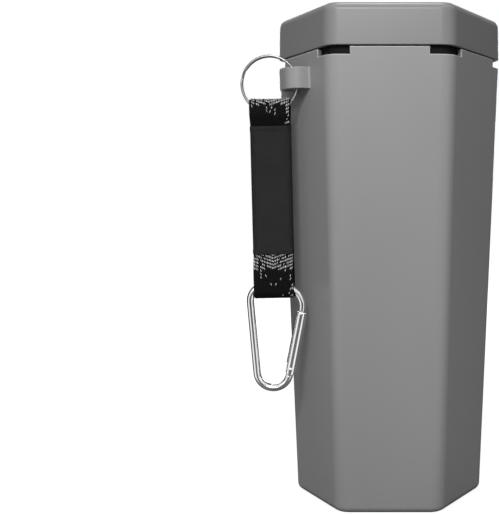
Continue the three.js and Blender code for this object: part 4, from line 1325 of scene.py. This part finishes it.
class WASHER_OT_gate(Operator):
    """Build the sprung gate, its rivet and its latch pin, and finish its plunger and spring"""

    bl_idname = "washer.gate"
    bl_label = "Gate"

    def execute(self, context):
        sizes = context.scene.washer_carabiner
        form = CarabinerForm(sizes)
        steel = bright_steel(context)
        radius, top = sizes.gate_radius, sizes.gate_length + sizes.gate_reach
        lip = 0.3 * MM
        heights = [radius * math.sin(t * math.pi / 36 - math.pi / 2) for t in range(18)]
        heights += [0, top - lip, top - lip * 0.5, top - lip * 0.15, top]
        rows = []
        for z in heights:
            flat = math.sqrt(max(radius**2 - min(z, 0) ** 2, 0)) + 0.02 * MM
            near = max(0, (z - top + lip) / lip)
            around = radius - lip * (1 - math.sqrt(max(0, 1 - near**2)))
            rows.append([(max(-flat, min(flat, x)), y, z) for x, y in circle(around, 40)])
        gate = skin("gate_bar", form.gate_rows(rows))
        slot, wide, over = sizes.tang_half + sizes.clearance, 2 * radius, 3 * MM
        for low_z, high_z in (
            (-radius - over, sizes.slot_depth), (sizes.gate_length - sizes.nose_slot, top + over),
        ):
            combine(gate, form.gate_box((-wide, -slot, low_z), (wide, slot, high_z)))
        round_edges(gate, sizes.edge_round)
        smooth(gate)
        finish_piece(gate, "gate", steel, "bright_steel", "carabiner_gate")

        rivet = self.pin(form, "hinge_rivet", sizes.rivet_radius, radius, 0, 1.35, 0.28 * MM)
        finish_piece(rivet, "gate", steel, "bright_steel", "gate_hinge_pin")
        latch = self.pin(form, "latch_bar", sizes.latch_radius, radius - sizes.clearance,
                         sizes.gate_length - sizes.latch_drop, 1.0, 0.1 * MM)
        finish_piece(latch, "gate", steel, "bright_steel", "gate_latch_pin")
        for node in ("gate_plunger", "gate_spring"):
            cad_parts[node].data.materials.clear()
            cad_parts[node].data.materials.append(steel)
        return {"FINISHED"}

    def pin(self, form, name, radius, half, z, head, dome):
        """A pin across the gate with domed heads, each head wider than the shank by a share."""
        head_radius = radius * head
        profile = [(0.25, half + dome), (0.6, half + dome * 0.85), (0.88, half + dome * 0.5),
                   (1, half + dome * 0.1), (1, half - 0.05 * MM)]
        outline = [(-y, part * head_radius) for part, y in profile]
        outline += [(-half + 0.25 * MM, radius), (half - 0.25 * MM, radius)]
        outline += [(y, part * head_radius) for part, y in profile[::-1]]
        rows = [[(x, y, up) for x, up in circle(r, 24, 0, z)] for y, r in outline]
        return smooth(skin(name, form.gate_rows(rows)))


# Shared shader effects

def shader_group(name, inputs, outputs):
    """An empty shader group that takes a vector and named numbers. Returns it and the sockets at its ends."""
    group = bpy.data.node_groups.new(name, "ShaderNodeTree")
    group.interface.new_socket("Vector", in_out="INPUT", socket_type="NodeSocketVector")
    for label, value in inputs.items():
        socket = group.interface.new_socket(label, in_out="INPUT", socket_type="NodeSocketFloat")
        socket.default_value = value
    for label in outputs:
        group.interface.new_socket(label, in_out="OUTPUT", socket_type="NodeSocketFloat")
    return group, group.nodes.new("NodeGroupInput").outputs, group.nodes.new("NodeGroupOutput").inputs


def use_group(tree, build, label, inputs):
    """Places a shared group, which is built the first time. Returns its outputs."""
    group = bpy.data.node_groups.get(label) or build(label)
    return add(tree, "ShaderNodeGroup", inputs, node_tree=group).outputs


def noise(tree, place, scale, detail=3.0, roughness=0.5):
    return add(tree, "ShaderNodeTexNoise", {
        "Vector": place, "Scale": scale, "Detail": detail, "Roughness": roughness,
    }).outputs["Fac"]


def ranged(tree, value, low, high, to_low, to_high):
    return first(tree, "ShaderNodeMapRange", {0: value, 1: low, 2: high, 3: to_low, 4: to_high})


def stored(tree, name, output="Fac"):
    return add(tree, "ShaderNodeAttribute", attribute_name=name).outputs[output]


def moulded_grain(name):
    """Fine satin grain and faint flow shading of a moulded plastic."""
    group, given, result = shader_group(name, {"Grain Scale": 2600.0, "Flow Scale": 14.0}, ("Height", "Flow"))
    grain = noise(group, given["Vector"], given["Grain Scale"], 2.0, 0.6)
    tall = first(group, "ShaderNodeMapping", {"Vector": given["Vector"], "Scale": (1.0, 1.0, 0.35)})
    group.links.new(grain, result["Height"])
    group.links.new(noise(group, tall, given["Flow Scale"], 3.0, 0.55), result["Flow"])
    return group


def edge_wear_and_highlight(name):
    """A mask of rubbed edges, broken up along their length. Where the edge mark is boosted, on the cup's rim
    and notches, it is a painted highlight.
    """
    group, given, result = shader_group(name, {"Amount": 1.0}, ("Mask",))
    patches = ranged(group, noise(group, given["Vector"], 90.0, 4.0, 0.65), 0.35, 0.65, 0.35, 1.0)
    rubbed = math_node(group, "MULTIPLY", stored(group, "edge"), patches)
    group.links.new(math_node(group, "MULTIPLY", rubbed, given["Amount"]), result["Mask"])
    return group


def fine_scratches(name):
    """Sparse hairline scratches and handling marks, as a mask."""
    group, given, result = shader_group(name, {"Scale": 60.0}, ("Mask",))
    turned = first(group, "ShaderNodeMapping", {
        "Vector": given["Vector"], "Rotation": (0.3, 0.5, 0.7), "Scale": (1.0, 14.0, 1.0),
    })
    lines = noise(group, turned, given["Scale"], 5.0, 0.7)
    group.links.new(ranged(group, lines, 0.62, 0.72, 0.0, 1.0), result["Mask"])
    return group


def ribbed_weave(name):
    """Crossed ribs of a woven band, from its lay coordinates in metres."""
    group, given, result = shader_group(name, {"Across Scale": 1.0, "Along Scale": 1.0}, ("Height", "Fibre"))
    lay = add(group, "ShaderNodeSeparateXYZ", {0: given["Vector"]}).outputs
    across, along = (
        math_node(group, "SINE", math_node(group, "MULTIPLY", side, given[scale]), 0.0)
        for side, scale in ((lay[0], "Across Scale"), (lay[1], "Along Scale"))
    )
    fibre = noise(group, given["Vector"], 2200.0, 3.0, 0.7)
    height = math_node(group, "ADD", math_node(group, "MULTIPLY", across, along),
                       math_node(group, "MULTIPLY", fibre, 0.6))
    group.links.new(height, result["Height"])
    group.links.new(fibre, result["Fibre"])
    return group


# Materials

def new_material(name):
    """An empty material with a Principled shader. Returns the material, its tree and the shader's inputs."""
    material = bpy.data.materials.new(name)
    material.use_nodes = True
    tree = material.node_tree
    tree.nodes.clear()
    shader = add(tree, "ShaderNodeBsdfPrincipled")
    add(tree, "ShaderNodeOutputMaterial", {0: shader.outputs[0]})
    return material, tree, shader.inputs


def dress(tree, shader, base, rough, specular=None, height=None, distance=0.0, strength=1.0):
    """Links a shader's colour, roughness and bump, and sets its specular level."""
    tree.links.new(base, shader["Base Color"])
    tree.links.new(rough, shader["Roughness"])
    if specular is not None:
        shader["Specular IOR Level"].default_value = specular
    if height is not None:
        bump = first(tree, "ShaderNodeBump", {"Height": height, "Distance": distance, "Strength": strength})
        tree.links.new(bump, shader["Normal"])


def object_place(tree):
    return add(tree, "ShaderNodeTexCoord").outputs["Object"]


def mix_colour(tree, part, start, end):
    node = tree.nodes.new("ShaderNodeMix")
    node.data_type = "RGBA"
    for key, value in (("Factor_Float", part), ("A_Color", start), ("B_Color", end)):
        socket = next(s for s in node.inputs if s.identifier == key)
        if isinstance(value, bpy.types.NodeSocket):
            tree.links.new(value, socket)
        else:
            socket.default_value = (*value, 1.0) if hasattr(value, "__len__") else value
    return next(s for s in node.outputs if s.identifier == "Result_Color")


def shades(rgb, factor):
    return tuple(min(1.0, c * factor) for c in rgb)


def toned(tree, tone, rgb, dark, pale):
    """A colour between a darker and a paler shade of itself."""
    return mix_colour(tree, tone, shades(rgb, dark), shades(rgb, pale))


def plastic(name, rgb, rough, scratched, specular=0.35):
    """Satin moulded plastic: fine grain, faint flow shading, paler rubbed edges and hairline marks. The paler
    edges are boosted into a painted highlight on the cup's rim and notches.
    """
    if name in bpy.data.materials:
        return bpy.data.materials[name]
    material, tree, shader = new_material(name)
    place = object_place(tree)
    grain = use_group(tree, moulded_grain, "Moulded grain", {"Vector": place})
    # Edge mask: paler rubbed small edges, and a painted highlight where the rim's edges are boosted
    wear_and_highlight = use_group(tree, edge_wear_and_highlight, "Edge wear", {"Vector": place, "Amount": 0.25})["Mask"]
    marks = use_group(tree, fine_scratches, "Fine scratches", {"Vector": place, "Scale": 60.0})["Mask"]
    base = toned(tree, ranged(tree, grain["Flow"], 0.3, 0.7, 0.0, 1.0), rgb, 0.965, 1.03)
    gloss = ranged(tree, grain["Flow"], 0.3, 0.7, rough - 0.03, rough + 0.04)
    polished = math_node(tree, "SUBTRACT", gloss, math_node(tree, "MULTIPLY", wear_and_highlight, 0.12))
    marked = math_node(tree, "ADD", polished, math_node(tree, "MULTIPLY", marks, scratched))
    height = math_node(tree, "SUBTRACT", grain["Height"], math_node(tree, "MULTIPLY", marks, 0.5))
    dress(tree, shader, mix_colour(tree, wear_and_highlight, base, shades(rgb, 2.3)), marked, specular, height, 0.00002, 0.6)
    return material


def cup_plastic(context):
    return plastic("Cup plastic", context.scene.washer_finishes.cup_grey, 0.36, 0.06)


# Painted shade: the lid's grey is set darker than the cup's
def lid_plastic(context):
    return plastic("Lid plastic", context.scene.washer_finishes.lid_shaded_grey, 0.36, 0.06)


# Painted shade: near-black for the shadow on the neck in the notches and under the lid
def neck_shade_plastic(context):
    return plastic("Neck plastic", context.scene.washer_finishes.neck_shade_black, 0.5, 0.04, 0.03)


def inner_plastic(context):
    return plastic("Brush set plastic", context.scene.washer_finishes.inner_grey, 0.5, 0.04)


def bristle_nylon(context):
    rgb = context.scene.washer_finishes.bristle
    material, tree, shader = new_material("Bristle nylon")
    strands = noise(tree, object_place(tree), 900.0, 2.0)
    dress(tree, shader, toned(tree, strands, rgb, 0.8, 1.12), ranged(tree, strands, 0.3, 0.7, 0.35, 0.55))
    shader["Subsurface Weight"].default_value = 0.1
    return material


def seal_rubber(context):
    rgb = context.scene.washer_finishes.rubber
    material, tree, shader = new_material("Seal rubber")
    grain = use_group(tree, moulded_grain, "Moulded grain", {
        "Vector": object_place(tree), "Grain Scale": 1800.0,
    })
    dress(tree, shader, toned(tree, grain["Flow"], rgb, 0.8, 1.6),
          ranged(tree, grain["Flow"], 0.3, 0.7, 0.62, 0.78), None, grain["Height"], 0.00002)
    return material


def weave_of(tree, across, along):
    """The shared weave on a piece's lay coordinates, with the width of its ribs in metres."""
    return use_group(tree, ribbed_weave, "Ribbed weave", {
        "Vector": stored(tree, "lay", "Vector"), "Across Scale": TURN / across, "Along Scale": TURN / along,
    })


def webbing_cloth(context):
    """The webbing's ground weave, under its raised threads."""
    material, tree, shader = new_material("Webbing ground")
    weave = weave_of(tree, 0.00086, 0.0011)
    tone = ranged(tree, weave["Height"], -0.6, 1.2, 0.0, 1.0)
    dress(tree, shader, toned(tree, tone, context.scene.washer_finishes.webbing, 0.5, 2.0),
          ranged(tree, weave["Fibre"], 0.3, 0.7, 0.45, 0.7), 0.05, weave["Height"], 0.00015)
    return material


def webbing_thread(context):
    """The raised threads: black, and painted pale as glints where the webbing faces up to the light."""
    finishes = context.scene.washer_finishes
    material, tree, shader = new_material("Webbing thread")
    long = first(tree, "ShaderNodeMapping", {"Vector": object_place(tree), "Scale": (3.0, 3.0, 0.4)})
    fibre = noise(tree, long, 1500.0, 3.0, 0.7)
    tone = math_node(tree, "MULTIPLY", ranged(tree, fibre, 0.35, 0.65, 0.35, 1.0), stored(tree, "worn"))
    dress(tree, shader, mix_colour(tree, tone, finishes.webbing, finishes.webbing_glint),
          ranged(tree, fibre, 0.3, 0.7, 0.4, 0.65), 0.08, fibre, 0.00004)
    return material


def sleeve_cloth(context):
    """The sleeve: a dense satin weave, clouded a little."""
    material, tree, shader = new_material("Sleeve satin")
    weave = weave_of(tree, 0.00038, 0.0005)
    cloud = noise(tree, stored(tree, "lay", "Vector"), 160.0, 3.0, 0.6)
    tone = math_node(tree, "ADD", math_node(tree, "MULTIPLY", weave["Height"], 0.3),
                     ranged(tree, cloud, 0.3, 0.7, 0.1, 0.7))
    dress(tree, shader, toned(tree, tone, context.scene.washer_finishes.sleeve, 0.6, 1.5),
          ranged(tree, cloud, 0.3, 0.7, 0.42, 0.55), 0.2, weave["Height"], 0.00005)
    return material


def sewing_thread(context):
    material, tree, shader = new_material("Sewing thread")
    twist = noise(tree, object_place(tree), 1700.0, 2.0, 0.6)
    dress(tree, shader, toned(tree, twist, context.scene.washer_finishes.stitch, 0.5, 1.8),
          ranged(tree, twist, 0.3, 0.7, 0.4, 0.6), 0.2, twist, 0.00005)
    return material


def plated(name, rgb, rough):
    """Plated wire, with a faint drawn grain, handling smears and hairlines."""
    if name in bpy.data.materials:
        return bpy.data.materials[name]
    material, tree, shader = new_material(name)
    place = object_place(tree)
    smear = noise(tree, place, 150.0, 4.0, 0.6)
    marks = use_group(tree, fine_scratches, "Fine scratches", {"Vector": place, "Scale": 220.0})["Mask"]
    marked = math_node(tree, "ADD", ranged(tree, smear, 0.3, 0.7, rough, rough + 0.06),
                       math_node(tree, "MULTIPLY", marks, 0.12))
    dress(tree, shader, toned(tree, smear, rgb, 0.93, 1.04), marked, None, marks, 0.000004, 0.5)
    shader["Metallic"].default_value = 1.0
    return material


def bright_steel(context):
    return plated("Bright plated steel", context.scene.washer_finishes.steel, 0.05)


def ring_steel(context):
    return plated("Ring steel", context.scene.washer_finishes.ring, 0.28)


# The studio

def lamp(name, place, aim, width, height, power):
    light = bpy.data.lights.new(name, "AREA")
    light.shape = "RECTANGLE"
    light.size, light.size_y, light.energy = width, height, power
    thing = link(name, light)
    thing.location = place
    thing.rotation_euler = (Vector(aim) - Vector(place)).to_track_quat("-Z", "Y").to_euler()


def dark_bands(tree, x, y, half):
    """1 in the upright dark bands that bright metal shows, one in front of the object and one behind it."""
    turn = math_node(tree, "ABSOLUTE", math_node(tree, "ARCTAN2", x, math_node(tree, "MULTIPLY", y, -1.0)), 0.0)
    front = ranged(tree, turn, half - 0.1, half + 0.1, 1.0, 0.0)
    return math_node(tree, "MAXIMUM", front, ranged(tree, turn, 1.2, 1.35, 0.0, 1.0))


class WASHER_OT_stage(Operator):
    """Set the floor, the white surround, the lamps and the camera"""

    bl_idname = "washer.stage"
    bl_label = "Studio"

    def execute(self, context):
        finishes = context.scene.washer_finishes
        self.surround(context, finishes)
        self.ground(finishes)
        for values in LAMPS:
            lamp(*values)
        camera = bpy.data.cameras.new("Camera")
        camera.sensor_width = SENSOR_WIDTH
        camera.lens = FOCAL_LENGTH * SENSOR_WIDTH / PHOTO_HEIGHT
        camera.shift_x = (PHOTO_WIDTH / 2 - MIDDLE_COLUMN) / PHOTO_HEIGHT
        camera.clip_start = 0.01
        eye = link("Camera", camera)
        eye.location = EYE
        eye.rotation_euler = (EYE_TILT, 0, 0)
        context.scene.camera = eye
        context.scene.view_settings.view_transform = "Standard"
        return {"FINISHED"}

    def surround(self, context, finishes):
        """White to camera, glossy and transmission rays, and dimmer to the rays that light the object."""
        world = bpy.data.worlds.new("Studio")
        context.scene.world = world
        world.use_nodes = True
        tree = world.node_tree
        tree.nodes.clear()
        path = add(tree, "ShaderNodeLightPath").outputs
        seen = math_node(tree, "MAXIMUM", path["Is Camera Ray"], path["Is Glossy Ray"])
        seen = math_node(tree, "MAXIMUM", seen, path["Is Transmission Ray"])
        facing = add(tree, "ShaderNodeSeparateXYZ", {0: add(tree, "ShaderNodeTexCoord").outputs["Generated"]})
        dark = math_node(tree, "MULTIPLY", dark_bands(tree, *facing.outputs[:2], 0.2), path["Is Glossy Ray"])
        tint = mix_colour(tree, dark, finishes.backdrop, (0.03, 0.03, 0.03))
        shown = first(tree, "ShaderNodeBackground", {"Color": tint, "Strength": 1.0})
        lit = first(tree, "ShaderNodeBackground", {"Color": (1, 1, 1, 1), "Strength": AMBIENT})
        add(tree, "ShaderNodeOutputWorld", {0: first(tree, "ShaderNodeMixShader", {0: seen, 1: lit, 2: shown})})

    def ground(self, finishes):
        """A floor that the camera sees as white, with dark bands in what metal mirrors of it."""
        far = FLOOR_REACH
        mesh = bpy.data.meshes.new("floor")
        mesh.from_pydata([(-far, -far, 0), (far, -far, 0), (far, far, 0), (-far, far, 0)], [], [(0, 1, 2, 3)])
        floor = link("floor", mesh)
        material, tree, shader = new_material("Studio floor")
        place = object_place(tree)
        base = toned(tree, noise(tree, place, 30.0, 2.0), finishes.floor, 0.99, 1.01)
        tree.links.new(base, shader["Base Color"])
        shader["Roughness"].default_value = 0.9
        shader["Specular IOR Level"].default_value = 0.0
        path = add(tree, "ShaderNodeLightPath").outputs
        away = add(tree, "ShaderNodeVectorMath", {0: place}, operation="LENGTH").outputs["Value"]
        white = ranged(tree, away, 0.15, 1.0, 0.92, 1.0)
        mirrored = math_node(tree, "MAXIMUM", path["Is Glossy Ray"], path["Is Transmission Ray"])
        from_clip = first(tree, "ShaderNodeVectorMath", {0: place, 1: CLIP_PLACE}, operation="SUBTRACT")
        x, y, _ = add(tree, "ShaderNodeSeparateXYZ", {0: from_clip}).outputs
        near = add(tree, "ShaderNodeVectorMath", {0: from_clip}, operation="LENGTH").outputs["Value"]
        pale = math_node(tree, "MULTIPLY", ranged(tree, near, 0.08, 0.16, 0.05, 1.0),
                         math_node(tree, "SUBTRACT", 1.0, dark_bands(tree, x, y, 0.5)))
        strength = math_node(tree, "ADD", math_node(tree, "MULTIPLY", path["Is Camera Ray"], white),
                             math_node(tree, "MULTIPLY", mirrored, pale))
        glow = mix_colour(tree, strength, (0.0, 0.0, 0.0), (1.0, 1.0, 1.0))
        tree.links.new(glow, shader["Emission Color"])
        shader["Emission Strength"].default_value = 1.0
        floor.data.materials.append(material)


class WASHER_PT_sidebar(Panel):
    """Lists the sizes, the colours and the pieces of the washer"""

    bl_idname = "WASHER_PT_sidebar"
    bl_label = "Golf ball washer"
    bl_space_type = "VIEW_3D"
    bl_region_type = "UI"
    bl_category = "Washer"

    def draw(self, context):
        for label, setting in SETTINGS.items():
            box = self.layout.box()
            box.label(text=label.replace("washer_", "").capitalize())
            group = getattr(context.scene, label)
            for name in setting.__annotations__:
                box.prop(group, name)
        for operator in PIECES:
            self.layout.operator(operator.bl_idname)


SETTINGS = {
    "washer_cup": CupSizes, "washer_lid": LidSizes, "washer_brushes": BrushSizes, "washer_ring": RingSizes,
    "washer_strap": StrapSizes, "washer_carabiner": CarabinerSizes, "washer_finishes": Finishes,
}
PIECES = (
    WASHER_OT_cup, WASHER_OT_lid, WASHER_OT_insert, WASHER_OT_bristles, WASHER_OT_split_ring,
    WASHER_OT_strap, WASHER_OT_sleeve, WASHER_OT_carabiner, WASHER_OT_gate, WASHER_OT_stage,
)


def register():
    for kind in (*SETTINGS.values(), *PIECES, WASHER_PT_sidebar):
        bpy.utils.register_class(kind)
    for name, kind in SETTINGS.items():
        setattr(bpy.types.Scene, name, PointerProperty(type=kind))


def unregister():
    for name in SETTINGS:
        delattr(bpy.types.Scene, name)
    for kind in reversed((*SETTINGS.values(), *PIECES, WASHER_PT_sidebar)):
        bpy.utils.unregister_class(kind)


def main():
    register()
    for operator in PIECES:
        group, name = operator.bl_idname.split(".")
        getattr(getattr(bpy.ops, group), name)()


if __name__ == "__main__":
    main()
